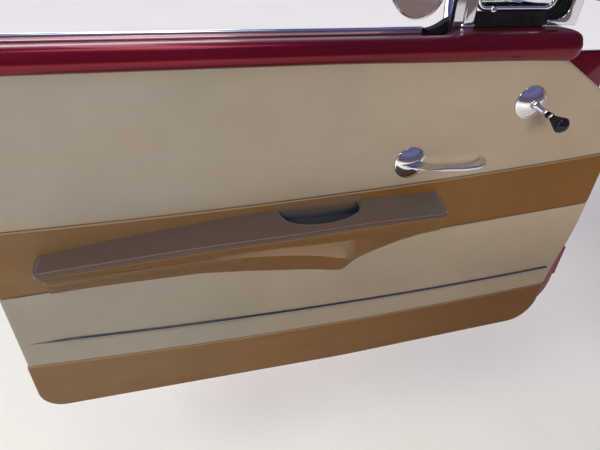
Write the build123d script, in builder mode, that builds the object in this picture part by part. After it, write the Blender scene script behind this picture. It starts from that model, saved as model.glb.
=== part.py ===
"""Left front door of a 1950s convertible, seen and drawn from the cabin side.

The door hangs on two leaf hinges at its front edge and is stored open. Sizes are in
millimetres. Side profiles are drawn as (along, height): along runs forward from the trim's
rear edge and height runs up from the line where the trim meets the belt rail. Depth runs
outward from the trim's cabin face, so what stands into the cabin has a negative depth.
"""

from build123d import *
import os
from math import asin, cos, radians, sin

os.makedirs("parts", exist_ok=True)

# Trim panel outline
TRIM_LENGTH = 1101.0
TRIM_HEIGHT = 631.0
TRIM_BOTTOM_REAR = TRIM_HEIGHT - 6.0
TRIM_BOTTOM_FRONT = TRIM_HEIGHT - 35.0
TRIM_SAG_ALONG = 600.0
TRIM_NOTCH_ALONG = 925.0
TRIM_NOTCH_DROP = 104.5
TRIM_THICKNESS = 6.0
TRIM_CORNERS = {"notch": 175.0, "front": 95.0, "sag": 1500.0, "rear": 40.0}
TRIM_UNDER_RAIL = 10.0
TRIM_TOP_RADIUS = 8.0

# Seams between the trim's coloured fields, as (along, height) of rear, middle and front
UPPER_SEAM = [(0.0, -226.0), (490.0, -217.0), (TRIM_LENGTH, -177.0)]
BAND_SEAM = [(0.0, -347.0), (490.0, -330.0), (TRIM_LENGTH, -294.0)]
LOWER_SEAM = [(0.0, -505.0), (490.0, -525.0), (TRIM_LENGTH, -515.0)]

# Chrome strip on the lower field, as (along, height) of its rear point, shoulder, middle and front
STRIP_REAR = (17.0, -454.0)
STRIP_SHOULDER = (87.0, -457.0)
STRIP_MIDDLE = (500.0, -471.0)
STRIP_FRONT = (1074.0, -465.0)
STRIP_WIDTH = 9.0
STRIP_THICKNESS = 4.0

# Steel shell and skin
SHEET = 2.0
SHELL_INSET = 2.0
SKIN_EDGE = 20.0
FLANGE_DEPTH = 96.0
BELT_HEIGHT = 25.0
BELT_DEPTH = 110.0
BELT_LIP = 14.0
SKIN_CROWN = 12.0
SKIN_CROWN_HEIGHT = -250.0
SKIN_BOTTOM_DEPTH = 107.0
SKIN_CORNERS = {"rear_top": 6.0, "shoulder": 20.0, "front_top": 14.0}
PLAN_RADIUS = 28000.0
PLAN_SWEEP = 4.0
SHOULDER_ALONG = 985.0
SHOULDER_DROP = 18.0

# Window slot, glass and its runs
SLOT_INNER_DEPTH = 26.0
SLOT_OUTER_DEPTH = 74.0
GLASS_DEPTH = 50.0
GLASS_THICKNESS = 6.0
GLASS_TOP = 6.0
GLASS_HEIGHT = 410.0
GLASS_EDGE = 1.0
RUN_REACH = 9.0
RUN_WALL = 2.5
RUN_CLEARANCE = 0.3
RUN_DROP = 5.0

# Rubber lips each side of the slot, and the chrome strip on the skin's top edge
SEAL_HEIGHT = 14.0
SEAL_REACH = 17.0
SEAL_THICKNESS = 3.0
SEAL_ROOT = 4.0
SEAL_START = 26.0
INNER_SEAL_DROP = 5.0
OUTER_SEAL_DROP = 2.0
CHROME_INNER = 100.0
CHROME_OUTER = 109.0
CHROME_HEIGHT = 3.5

# Belt rail
RAIL_FOOT = 2.0
RAIL_BULGE = 12.0
RAIL_BULGE_DROP = 3.0
RAIL_TOP = 35.5
RAIL_CREST = 0.4
RAIL_EDGE_HEIGHT = 30.5
RAIL_SHOULDER = 5.0
RAIL_WALL = 2.5
RAIL_SKIRT = 18.0
WIDE_RAIL_START = 700.0
WIDE_RAIL_ALONG = 752.0
WIDE_RAIL_DEPTH = 48.0
WIDE_RAIL_TOP = 40.0
WIDE_RAIL_EDGE = 38.5
RAIL_NOSE_ALONG = 946.0
RAIL_NOSE_TOP = 20.0
RAIL_NOSE_FOOT = 16.0

# Vent window
DIVISION_ALONG = 735.0
DIVISION_RUN_WIDTH = 15.0
DIVISION_BAR_WIDTH = 20.0
BAR_ROUND = 5.0
VENT_FRONT_ALONG = 959.0
VENT_TOP = 358.0
VENT_POST_WIDTH = 21.0
VENT_FRAME_DEPTH = 22.0
VENT_CORNER = 36.0
VENT_FRONT_TOP = 18.0
VENT_INNER_TOP = 24.0
VENT_INNER_FOOT = 22.0
VENT_HEAD = 14.0
FRAME_EDGE = 1.5
VENT_SILL = 48.5
RUBBER_TOP = 59.5
RUBBER_INSET = 2.0
RUBBER_LEAN = 4.0
RUBBER_LIP = 8.0
SASH_TUBE = 8.0
SASH_GAP = 1.5
SASH_FRONT_GAP = 22.0
SASH_CORNERS = {"rear": 12.0, "front_foot": 16.0, "front_top": 22.0}
SASH_PIVOT_ALONG = 800.0
PIVOT_RADIUS = 3.5
VENT_GLASS_THICKNESS = 5.0

# Weatherstrip round the closing faces
WEATHER_DEPTH = 28.0
WEATHER_WIDTH = 12.0
WEATHER_PROUD = 9.0

# Armrest, as (along, height) of its top line and of its fascia's foot, then (along, reach)
REST_REAR = 76.0
REST_FRONT = 745.0
REST_TOP = [(REST_REAR, -266.0), (430.0, -227.0), (REST_FRONT, -224.0)]
REST_FOOT = [(REST_REAR, -286.0), (440.0, -259.0), (REST_FRONT, -261.0)]
REST_REACH = [(REST_REAR, 46.0), (270.0, 65.0), (480.0, 76.0), (REST_FRONT - 12.0, 70.0)]
REST_REAR_RADIUS = 12.0
REST_FRONT_RADIUS = 18.0
PAD_THICKNESS = 16.0
PAD_ROUND = 7.0
PAD_OVERHANG = 1.5

# Pull cup in the armrest: its ends at the wall, its furthest point and its floor's height
CUP_START = 451.0
CUP_END = 597.0
CUP_DEEPEST = (506.0, 51.0)
CUP_FLOOR = -253.0

# Shelf under the armrest, station by station: along, reach under the base, reach and height
# of its edge, and reach of its foot at the band's lower seam
SHELF_STATIONS = [
    (78.0, 14.0, 27.0, -298.0, 2.0),
    (88.0, 28.0, 40.5, -299.0, 2.0),
    (166.0, 37.0, 47.5, -290.0, 2.0),
    (317.0, 46.0, 56.0, -279.5, 11.0),
    (400.0, 47.0, 58.0, -281.0, 26.0),
    (485.0, 45.0, 59.0, -288.0, 41.0),
    (556.0, 38.0, 65.0, -300.5, 53.0),
    (572.0, 30.0, 53.0, -310.0, 47.0),
    (593.0, 22.0, 40.0, -320.0, 38.0),
    (683.0, 5.0, 12.0, -318.0, 11.0),
    (770.0, 1.0, 2.0, -313.5, 2.0),
]
SHELF_SLOPE_END = 600.0

# Inside handle and vent crank
ESCUTCHEON_RADIUS = 28.5
ESCUTCHEON_HEIGHT = 13.0
DOME_LIP = 2.0
HANDLE_PLACE = (680.0, -166.0)
LEVER_STAND = 38.0
LEVER_BLADE = 7.5
LEVER_THICKNESS = 8.0
LEVER_TILT = -1.0
LEVER_ROOT = 24.0
LEVER_GRIP = 110.0
LEVER_TIP = 136.0
LEVER_TIP_DEPTH = 10.0
LEVER_BULGE = 0.6
LEVER_CURL = (0.85, 0.8)
CRANK_PLACE = (883.0, -72.0)
CRANK_HUB = 8.0
ARM_END = (894.0, -24.0, -79.5)
ARM_RADII = (6.0, 4.5)
KNOB_AXIS = (0.12, -1.0, -0.27)
KNOB_NECK = 5.0
KNOB_NECK_LENGTH = 18.0
KNOB_RADIUS = 13.0
KNOB_WIDEST = 38.0
KNOB_LENGTH = 46.0

# Outside mirror, as (along, depth, height)
MIRROR_FOOT = (757.0, 92.0, BELT_HEIGHT)
MIRROR_FOOT_RADIUS = 15.0
MIRROR_FOOT_HEIGHT = 7.0
MIRROR_ELBOW = (785.0, 160.0, 84.0)
MIRROR_CENTRE = (745.0, 200.0, 84.0)
MIRROR_FACING = (-0.90, -0.44, 0.0)
MIRROR_RADIUS = 63.5
MIRROR_BACK = 22.0
MIRROR_RIM = 4.0
MIRROR_BEZEL = 3.0
MIRROR_PANE = 2.5
STEM_REACH = 9.0
STEM_FOOT_RADIUS = 9.0
STEM_RADIUS = 6.0

# Outside handle, push button and key lock
GRIP_REAR = 45.0
GRIP_FRONT = 209.0
GRIP_FOOT = 26.0
GRIP_HEIGHT = -92.0
GRIP_WIDTH = 20.0
GRIP_STAND = 45.0
GRIP_BAR = 12.0
GRIP_ROUND = 4.0
BUTTON_ALONG = 22.0
BUTTON_RADIUS = 10.0
BUTTON_REACH = 24.0
BUTTON_EDGE = 2.0
LOCK_DROP = 46.0
LOCK_RADIUS = 9.0
LOCK_REACH = 15.0

# Latch on the rear closing face
LATCH_HEIGHT = -230.0
LATCH_DEPTH = 66.0
LATCH_WIDTH = 44.0
LATCH_LENGTH = 84.0
LATCH_CORNER = 6.0
LATCH_PLATE = 3.0
ROTOR_RADIUS = 17.0
ROTOR_TEETH = 8
ROTOR_NOTCH = 4.0
ROTOR_LENGTH = 10.0

# Hinges
OPEN_ANGLE = 69.0
HINGE_HEIGHTS = {"upper": -230.0, "lower": 111.0 - TRIM_HEIGHT}
PIN_RADIUS = 5.0
PIN_CLEARANCE = 0.08
PIN_AHEAD = 24.0
PIN_DEPTH = 80.0
PIN_HEAD_RADIUS = 8.0
PIN_HEAD_HEIGHT = 4.0
KNUCKLE_RADIUS = 10.0
KNUCKLE_HEIGHT = 30.0
KNUCKLE_GAP = 0.5
LUG_HEIGHT = 14.0
LEAF_THICKNESS = 6.0
LEAF_WIDTH = 46.0
LEAF_HEIGHT = 84.0
PAD_AHEAD = 24.0
PAD_INBOARD = 30.0
PAD_WIDTH = 66.0
PAD_BOLT_CIRCLE = 66.0
PAD_BOLTS = 4
BOLT_HOLE_RADIUS = 4.5

# The model's origin is the centre of the upper hinge's pillar pad, on its mating face
PIN_ALONG = TRIM_LENGTH - SHELL_INSET + PIN_AHEAD
SWING = radians(OPEN_ANGLE)
PIN_X = -(PAD_AHEAD * cos(SWING) + PAD_INBOARD * sin(SWING))
PIN_Y = -(PAD_AHEAD * sin(SWING) - PAD_INBOARD * cos(SWING))
REAR_X = PIN_X - PIN_ALONG
TRIM_Y = PIN_Y - PIN_DEPTH
BELT_Z = -HINGE_HEIGHTS["upper"]


def side(depth):
    """Side view at a depth, seen from the cabin: extrusions run into the cabin."""
    return Plane(origin=(REAR_X, TRIM_Y + depth, BELT_Z), x_dir=(1, 0, 0), z_dir=(0, -1, 0))


def section(along):
    """Cross-section at a distance along: drawn as (depth, height), extruded forward."""
    return Plane(origin=(REAR_X + along, TRIM_Y, BELT_Z), x_dir=(0, 1, 0), z_dir=(1, 0, 0))


def plan(height):
    """Plan at a height: drawn as (along, depth), extruded upward."""
    return Plane(origin=(REAR_X, TRIM_Y, BELT_Z + height), x_dir=(1, 0, 0), z_dir=(0, 0, 1))


def pin_plan(height, angle=0.0):
    """Plan centred on the hinge pins, turned about them by an angle."""
    turn = radians(angle)
    return Plane(
        origin=(PIN_X, PIN_Y, BELT_Z + height), x_dir=(cos(turn), sin(turn), 0), z_dir=(0, 0, 1)
    )


def spot(along, depth, height):
    """A point in space from its distance along, its depth and its height."""
    return Vector(REAR_X + along, TRIM_Y + depth, BELT_Z + height)


def save(piece, name):
    """Label a finished piece and write it as its own file."""
    piece.part.label = name
    export_step(piece.part, f"parts/{name}.step")


def trim_outline():
    """The trim panel's outline, with the concave notch under the windscreen pillar."""
    corner = TRIM_CORNERS
    points = [
        (0, TRIM_UNDER_RAIL),
        (TRIM_NOTCH_ALONG - TRIM_UNDER_RAIL, TRIM_UNDER_RAIL),
        (TRIM_NOTCH_ALONG, 0),
        (TRIM_LENGTH, -TRIM_NOTCH_DROP),
        (TRIM_LENGTH, -TRIM_BOTTOM_FRONT),
        (TRIM_SAG_ALONG, -TRIM_HEIGHT),
        (0, -TRIM_BOTTOM_REAR),
    ]
    top = TRIM_TOP_RADIUS
    radii = [top / 4, top, top, corner["notch"], corner["front"], corner["sag"], corner["rear"]]
    with BuildLine() as outline:
        FilletPolyline(*points, radius=radii, close=True)
    return outline.line


def skin_outline():
    """The outer skin's outline: the door's whole edge, with its front shoulder."""
    low = TRIM_BOTTOM_FRONT + SKIN_EDGE
    points = [
        (-SKIN_EDGE, BELT_HEIGHT),
        (SHOULDER_ALONG - BELT_HEIGHT, BELT_HEIGHT),
        (SHOULDER_ALONG, -SHOULDER_DROP),
        (TRIM_LENGTH + SKIN_EDGE, -SHOULDER_DROP),
        (TRIM_LENGTH + SKIN_EDGE, -low),
        (TRIM_SAG_ALONG, -TRIM_HEIGHT - SKIN_EDGE),
        (-SKIN_EDGE, -TRIM_BOTTOM_REAR - SKIN_EDGE),
    ]
    corner = TRIM_CORNERS
    edge = SKIN_CORNERS
    top = [edge["rear_top"], edge["shoulder"], edge["shoulder"], edge["front_top"]]
    with BuildLine() as outline:
        FilletPolyline(
            *points, radius=[*top, corner["front"], corner["sag"], corner["rear"]], close=True
        )
    return outline.line


def seam(points):
    """A seam: an arc through three points, or a straight line between two."""
    if len(points) == 2:
        Line(*points)
    else:
        ThreePointArc(*points)


# Trim panel: four upholstered fields that meet at the seams
PANEL_TOP = [(0.0, TRIM_HEIGHT), (TRIM_LENGTH, TRIM_HEIGHT)]
PANEL_BOTTOM = [(0.0, -2 * TRIM_HEIGHT), (TRIM_LENGTH, -2 * TRIM_HEIGHT)]
FIELDS = {
    "upper_trim_field": (PANEL_TOP, UPPER_SEAM),
    "middle_trim_band": (UPPER_SEAM, BAND_SEAM),
    "lower_trim_field": (BAND_SEAM, LOWER_SEAM),
    "bottom_trim_band": (LOWER_SEAM, PANEL_BOTTOM),
}
for name, (upper, lower) in FIELDS.items():
    with BuildPart() as field:
        with BuildSketch(side(TRIM_THICKNESS)):
            with BuildLine():
                add(trim_outline())
            make_face()
            with BuildLine():
                seam(upper)
                Line(upper[-1], lower[-1])
                seam(lower)
                Line(lower[0], upper[0])
            make_face(mode=Mode.INTERSECT)
        extrude(amount=TRIM_THICKNESS)
    save(field, name)

# Chrome strip: pointed at its rear end, with arcs that draw together at the front
half_strip = STRIP_WIDTH / 2
with BuildPart() as trim_strip:
    with BuildSketch(side(0)):
        with BuildLine():
            crest, base = [
                ThreePointArc(
                    STRIP_FRONT,
                    (STRIP_MIDDLE[0], STRIP_MIDDLE[1] + half),
                    (STRIP_SHOULDER[0], STRIP_SHOULDER[1] + half),
                )
                for half in (half_strip, -half_strip)
            ]
            Line(crest @ 1, STRIP_REAR)
            Line(STRIP_REAR, base @ 1)
        make_face()
    extrude(amount=STRIP_THICKNESS)
save(trim_strip, "trim_strip")

# Inner shell: a pressed tray behind the trim, open at the top for the glass, with a flange
# round it for the skin and a pillar at its rear end that carries the belt
with BuildPart() as inner_shell:
    with BuildSketch(side(FLANGE_DEPTH)):
        with BuildLine():
            add(trim_outline())
        make_face()
        offset(amount=-SHELL_INSET)
    extrude(amount=FLANGE_DEPTH - TRIM_THICKNESS)
    with BuildSketch(side(FLANGE_DEPTH + SHEET)):
        with BuildLine():
            add(skin_outline())
        make_face()
        offset(amount=-SHEET)
        with Locations((0, -SHOULDER_DROP)):
            Rectangle(
                4 * TRIM_LENGTH, TRIM_HEIGHT, align=(Align.CENTER, Align.MIN), mode=Mode.SUBTRACT
            )
    extrude(amount=SHEET)
    with BuildSketch(plan(0)):
        for near, far in (
            (SLOT_INNER_DEPTH + RUN_CLEARANCE, SLOT_OUTER_DEPTH),
            (SLOT_OUTER_DEPTH + SHEET, FLANGE_DEPTH),
        ):
            with Locations((SHELL_INSET, near)):
                Rectangle(SHEET, far - near, align=Align.MIN)
    extrude(amount=BELT_HEIGHT - SHEET)
    with BuildSketch(side(FLANGE_DEPTH + SHEET)):
        with BuildLine():
            add(trim_outline())
        make_face()
        offset(amount=-SHELL_INSET - SHEET)
        with Locations((SHELL_INSET + SHEET, -SHOULDER_DROP)):
            Rectangle(
                TRIM_NOTCH_ALONG - 2 * SHELL_INSET, 2 * BELT_HEIGHT, align=Align.MIN
            )
    extrude(amount=FLANGE_DEPTH - TRIM_THICKNESS, mode=Mode.SUBTRACT)
save(inner_shell, "inner_shell")


def skin_face(inward):
    """The skin's half-section outward of the flange, set in from its outer face."""
    with BuildSketch() as half:
        with BuildLine():
            crown = ThreePointArc(
                (BELT_DEPTH - inward, BELT_HEIGHT - inward),
                (BELT_DEPTH + SKIN_CROWN - inward, SKIN_CROWN_HEIGHT),
                (SKIN_BOTTOM_DEPTH - inward, -TRIM_HEIGHT - SKIN_EDGE),
            )
            Polyline(
                crown @ 1,
                (FLANGE_DEPTH, -TRIM_HEIGHT - SKIN_EDGE),
                (FLANGE_DEPTH, BELT_HEIGHT - inward),
                crown @ 0,
            )
        make_face()
    return half.sketch


# Outer skin: a crowned lid over the tray, curved in plan as well as in height
PLAN_AXIS = Axis((REAR_X + TRIM_LENGTH / 2, TRIM_Y - PLAN_RADIUS, 0), (0, 0, 1))


def skin_bulk(inward):
    """The space under the skin, turned about the far-off plan axis."""
    with BuildPart(mode=Mode.PRIVATE) as bulk:
        with BuildSketch(section(TRIM_LENGTH / 2)):
            add(skin_face(inward))
        revolve(axis=PLAN_AXIS, revolution_arc=PLAN_SWEEP)
    return bulk.part.rotate(PLAN_AXIS, -PLAN_SWEEP / 2)


def skin_block(inward):
    """The skin's space cut to the door's outline, set in from its edge."""
    with BuildPart(mode=Mode.PRIVATE) as block:
        add(skin_bulk(inward))
        with BuildSketch(side(FLANGE_DEPTH + 4 * SKIN_CROWN)):
            with BuildLine():
                add(skin_outline())
            make_face()
            if inward:
                offset(amount=-inward)
        extrude(amount=4 * SKIN_CROWN, mode=Mode.INTERSECT)
    return block.part


with BuildPart() as outer_skin:
    add(skin_block(0))
    add(skin_block(SHEET), mode=Mode.SUBTRACT)
    with BuildSketch(section(-SKIN_EDGE + SHEET)):
        with BuildLine():
            Polyline(
                (FLANGE_DEPTH, BELT_HEIGHT),
                (SLOT_OUTER_DEPTH, BELT_HEIGHT),
                (SLOT_OUTER_DEPTH, BELT_HEIGHT - BELT_LIP),
                (SLOT_OUTER_DEPTH + SHEET, BELT_HEIGHT - BELT_LIP),
                (SLOT_OUTER_DEPTH + SHEET, BELT_HEIGHT - SHEET),
                (FLANGE_DEPTH, BELT_HEIGHT - SHEET),
                close=True,
            )
        make_face()
    extrude(amount=SHOULDER_ALONG + SKIN_EDGE - 2 * BELT_HEIGHT)
save(outer_skin, "outer_skin")


def rail_face(depth, top, edge, wall):
    """The rail's section within its outer face, set in by a wall and then open below."""
    open_end = [(depth - wall, -RAIL_SKIRT), (wall - RAIL_WALL, -RAIL_SKIRT)] if wall else []
    with BuildSketch() as face:
        with BuildLine():
            rise = ThreePointArc(
                (-RAIL_WALL + wall, RAIL_FOOT + wall),
                (-RAIL_BULGE + wall, top / 2 - RAIL_BULGE_DROP),
                (-RAIL_SHOULDER + wall, top - RAIL_SHOULDER - wall),
            )
            crest = ThreePointArc(
                rise @ 1, (RAIL_CREST * depth, top - wall), (depth - wall, edge - wall)
            )
            Polyline(crest @ 1, (depth - wall, edge - RAIL_SKIRT), *open_end, rise @ 0)
        make_face()
    return face.sketch


def rail_bulk(wall, start, end):
    """The rail as one long form: straight run, transition and wide front part."""
    narrow = (SLOT_INNER_DEPTH, RAIL_TOP, RAIL_EDGE_HEIGHT)
    wide = (WIDE_RAIL_DEPTH, WIDE_RAIL_TOP, WIDE_RAIL_EDGE)
    with BuildPart(mode=Mode.PRIVATE) as bulk:
        with BuildSketch(section(start)):
            add(rail_face(*narrow, wall))
        extrude(amount=WIDE_RAIL_START - start)
        with BuildSketch(section(WIDE_RAIL_ALONG)):
            add(rail_face(*wide, wall))
        extrude(amount=end - WIDE_RAIL_ALONG)
        with BuildSketch(section(WIDE_RAIL_START)):
            add(rail_face(*narrow, wall))
        with BuildSketch(section(WIDE_RAIL_ALONG)):
            add(rail_face(*wide, wall))
        loft()
    return bulk.part


# Belt rail: a pressed moulding over the door's inner top edge, wide at the vent window
with BuildPart() as belt_rail:
    add(rail_bulk(0, -RAIL_WALL, RAIL_NOSE_ALONG))
    with BuildSketch(side(2 * WIDE_RAIL_DEPTH)):
        with BuildLine():
            FilletPolyline(
                (-RAIL_WALL, RAIL_FOOT),
                (RAIL_NOSE_ALONG, RAIL_FOOT),
                (RAIL_NOSE_ALONG, WIDE_RAIL_TOP),
                (-RAIL_WALL, 2 * WIDE_RAIL_TOP),
                radius=[RAIL_FOOT / 2, RAIL_NOSE_FOOT, RAIL_NOSE_TOP, RAIL_FOOT / 2],
                close=True,
            )
        make_face()
    extrude(amount=4 * WIDE_RAIL_DEPTH, mode=Mode.INTERSECT)
    add(rail_bulk(RAIL_WALL, 0, RAIL_NOSE_ALONG - RAIL_NOSE_TOP), mode=Mode.SUBTRACT)
    with BuildSketch(plan(0)):
        with Locations((DIVISION_ALONG - RUN_CLEARANCE, GLASS_DEPTH)):
            Rectangle(
                DIVISION_RUN_WIDTH + 2 * RUN_CLEARANCE,
                GLASS_THICKNESS + 2 * RUN_WALL + 4 * RUN_CLEARANCE,
                align=(Align.MIN, Align.CENTER),
            )
    extrude(amount=2 * WIDE_RAIL_TOP, mode=Mode.SUBTRACT)
save(belt_rail, "belt_rail")

# Rubber lips each side of the glass slot
for name, wall_depth, into_slot, top in (
    ("inner_belt_seal", SLOT_INNER_DEPTH, 1, RAIL_EDGE_HEIGHT - INNER_SEAL_DROP),
    ("outer_belt_seal", SLOT_OUTER_DEPTH, -1, BELT_HEIGHT - OUTER_SEAL_DROP),
):
    lip_depth = wall_depth + into_slot * SEAL_REACH
    web_depth = wall_depth + into_slot * SEAL_THICKNESS
    with BuildPart() as belt_seal:
        with BuildSketch(section(SEAL_START)):
            with BuildLine():
                Polyline(
                    (wall_depth, top - SEAL_HEIGHT),
                    (wall_depth, top),
                    (lip_depth, top - SEAL_THICKNESS),
                    (lip_depth, top - 2 * SEAL_THICKNESS),
                    (web_depth, top - SEAL_ROOT),
                    (web_depth, top - SEAL_HEIGHT),
                    close=True,
                )
            make_face()
        extrude(amount=WIDE_RAIL_START - SEAL_START)
    save(belt_seal, name)

# Chrome strip along the skin's top edge
with BuildPart() as belt_strip:
    with BuildSketch(section(0)):
        with BuildLine():
            foot = Line((CHROME_OUTER, BELT_HEIGHT), (CHROME_INNER, BELT_HEIGHT))
            ThreePointArc(
                foot @ 1,
                ((CHROME_INNER + CHROME_OUTER) / 2, BELT_HEIGHT + CHROME_HEIGHT),
                foot @ 0,
            )
        make_face()
    extrude(amount=DIVISION_ALONG - DIVISION_RUN_WIDTH)
save(belt_strip, "belt_strip")

# Door glass, wound down between its two runs
RUN_BOTTOM = GLASS_TOP - GLASS_HEIGHT
REAR_RUN_ALONG = SHELL_INSET + SHEET
GLASS_REAR = REAR_RUN_ALONG + RUN_WALL + RUN_CLEARANCE
GLASS_FRONT = DIVISION_ALONG + RUN_REACH - RUN_CLEARANCE
with BuildPart() as door_glass:
    with BuildSketch(side(GLASS_DEPTH + GLASS_THICKNESS / 2)):
        with Locations((GLASS_REAR, RUN_BOTTOM)):
            Rectangle(GLASS_FRONT - GLASS_REAR, GLASS_HEIGHT, align=Align.MIN)
    extrude(amount=GLASS_THICKNESS)
    chamfer(
        door_glass.faces().sort_by(Axis.Z)[-1].edges().filter_by(Axis.X), length=GLASS_EDGE
    )
save(door_glass, "door_glass")

RUN_HALF = GLASS_THICKNESS / 2 + RUN_CLEARANCE
for name, web, mouth, low, high in (
    ("rear_glass_run", REAR_RUN_ALONG, RUN_WALL + RUN_REACH, RUN_BOTTOM, BELT_HEIGHT - RUN_DROP),
    ("division_run", DIVISION_ALONG + DIVISION_RUN_WIDTH, -DIVISION_RUN_WIDTH, RUN_BOTTOM, VENT_TOP),
):
    wall = RUN_WALL if mouth > 0 else RUN_REACH - DIVISION_RUN_WIDTH
    with BuildPart() as glass_run:
        with BuildSketch(plan(low)):
            with BuildLine():
                Polyline(
                    (web, GLASS_DEPTH - RUN_HALF - RUN_WALL),
                    (web + mouth, GLASS_DEPTH - RUN_HALF - RUN_WALL),
                    (web + mouth, GLASS_DEPTH - RUN_HALF),
                    (web + wall, GLASS_DEPTH - RUN_HALF),
                    (web + wall, GLASS_DEPTH + RUN_HALF),
                    (web + mouth, GLASS_DEPTH + RUN_HALF),
                    (web + mouth, GLASS_DEPTH + RUN_HALF + RUN_WALL),
                    (web, GLASS_DEPTH + RUN_HALF + RUN_WALL),
                    close=True,
                )
            make_face()
        extrude(amount=high - low)
    save(glass_run, name)

# Vent window: chrome division bar, front post with its curved foot, rubber and sash
VENT_REAR = DIVISION_ALONG + DIVISION_RUN_WIDTH
VENT_BAR_FRONT = VENT_REAR + DIVISION_BAR_WIDTH
VENT_FACE = GLASS_DEPTH - VENT_FRAME_DEPTH / 2
VENT_BACK = GLASS_DEPTH + VENT_FRAME_DEPTH / 2
with BuildPart() as division_bar:
    with BuildSketch(plan(WIDE_RAIL_TOP)):
        with Locations((VENT_REAR, GLASS_DEPTH)):
            Rectangle(DIVISION_BAR_WIDTH, VENT_FRAME_DEPTH, align=(Align.MIN, Align.CENTER))
    extrude(amount=VENT_TOP - WIDE_RAIL_TOP)
    fillet(division_bar.edges().filter_by(Axis.Z), radius=BAR_ROUND)
save(division_bar, "division_bar")

POST_REAR = VENT_FRONT_ALONG - VENT_POST_WIDTH
FRAME_RADII = [
    FRAME_EDGE, FRAME_EDGE, VENT_FRONT_TOP, FRAME_EDGE,
    FRAME_EDGE, VENT_INNER_TOP, VENT_INNER_FOOT, FRAME_EDGE,
]
with BuildPart() as vent_frame:
    with BuildSketch(side(VENT_BACK)):
        with BuildLine():
            FilletPolyline(
                (POST_REAR - VENT_CORNER, WIDE_RAIL_TOP),
                (VENT_FRONT_ALONG, WIDE_RAIL_TOP),
                (VENT_FRONT_ALONG, VENT_TOP),
                (VENT_BAR_FRONT, VENT_TOP),
                (VENT_BAR_FRONT, VENT_TOP - VENT_HEAD),
                (POST_REAR, VENT_TOP - VENT_HEAD),
                (POST_REAR, VENT_SILL),
                (POST_REAR - VENT_CORNER, VENT_SILL),
                radius=FRAME_RADII,
                close=True,
            )
        make_face()
    extrude(amount=VENT_FRAME_DEPTH)
save(vent_frame, "vent_frame")

HALF_TUBE = SASH_TUBE / 2
SASH_REAR = VENT_BAR_FRONT + SASH_GAP + HALF_TUBE
SASH_FRONT = POST_REAR - SASH_FRONT_GAP - HALF_TUBE
SASH_LOW = RUBBER_TOP + SASH_GAP + HALF_TUBE
SASH_HIGH = VENT_TOP - VENT_HEAD - SASH_GAP - HALF_TUBE


def sash_outline(inset):
    """Draws the sash's line, or the same line set in by a distance for the glass."""
    corner = SASH_CORNERS
    radii = [corner["rear"], corner["front_foot"], corner["front_top"], corner["rear"]]
    FilletPolyline(
        (SASH_REAR + inset, SASH_LOW + inset),
        (SASH_FRONT - inset, SASH_LOW + inset),
        (SASH_FRONT - inset, SASH_HIGH - inset),
        (SASH_REAR + inset, SASH_HIGH - inset),
        radius=[radius - inset for radius in radii],
        close=True,
    )


# Rubber: a base under the sash, and a web that fills the frame's curved front corner
with BuildPart() as vent_rubber:
    with BuildSketch(section(VENT_BAR_FRONT)):
        with BuildLine():
            Polyline(
                (VENT_FACE + RUBBER_INSET, WIDE_RAIL_TOP),
                (VENT_FACE + RUBBER_INSET + RUBBER_LEAN, RUBBER_TOP),
                (VENT_BACK, RUBBER_TOP),
                (SLOT_OUTER_DEPTH + RUBBER_LIP, BELT_HEIGHT),
                (SLOT_OUTER_DEPTH, BELT_HEIGHT),
                (SLOT_OUTER_DEPTH, BELT_HEIGHT - SHEET),
                (WIDE_RAIL_DEPTH, BELT_HEIGHT - SHEET),
                (WIDE_RAIL_DEPTH, WIDE_RAIL_TOP),
                close=True,
            )
        make_face()
    extrude(amount=POST_REAR - VENT_CORNER - VENT_BAR_FRONT)
    with BuildSketch(side(VENT_BACK)):
        with BuildLine():
            FilletPolyline(
                (SASH_PIVOT_ALONG, VENT_SILL),
                (POST_REAR, VENT_SILL),
                (POST_REAR, VENT_TOP - VENT_HEAD),
                (SASH_PIVOT_ALONG, VENT_TOP - VENT_HEAD),
                radius=[FRAME_EDGE, VENT_INNER_FOOT, VENT_INNER_TOP, FRAME_EDGE],
                close=True,
            )
        make_face()
        with BuildLine():
            sash_outline(-HALF_TUBE - SASH_GAP)
        make_face(mode=Mode.SUBTRACT)
    extrude(amount=VENT_BACK - GLASS_DEPTH - HALF_TUBE)
save(vent_rubber, "vent_rubber")

with BuildPart() as vent_sash:
    with BuildLine(side(GLASS_DEPTH)) as sash_path:
        sash_outline(0)
    with BuildSketch(Plane(origin=sash_path.line @ 0, z_dir=sash_path.line % 0)):
        Circle(HALF_TUBE)
    sweep(path=sash_path.line)
    for low, high in ((RUBBER_TOP, SASH_LOW), (SASH_HIGH, VENT_TOP - VENT_HEAD)):
        with BuildSketch(plan(low)):
            with Locations((SASH_PIVOT_ALONG, GLASS_DEPTH)):
                Circle(PIVOT_RADIUS)
        extrude(amount=high - low)
save(vent_sash, "vent_sash")

with BuildPart() as vent_glass:
    with BuildSketch(side(GLASS_DEPTH + VENT_GLASS_THICKNESS / 2)):
        with BuildLine():
            sash_outline(HALF_TUBE)
        make_face()
    extrude(amount=VENT_GLASS_THICKNESS)
save(vent_glass, "vent_glass")

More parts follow.
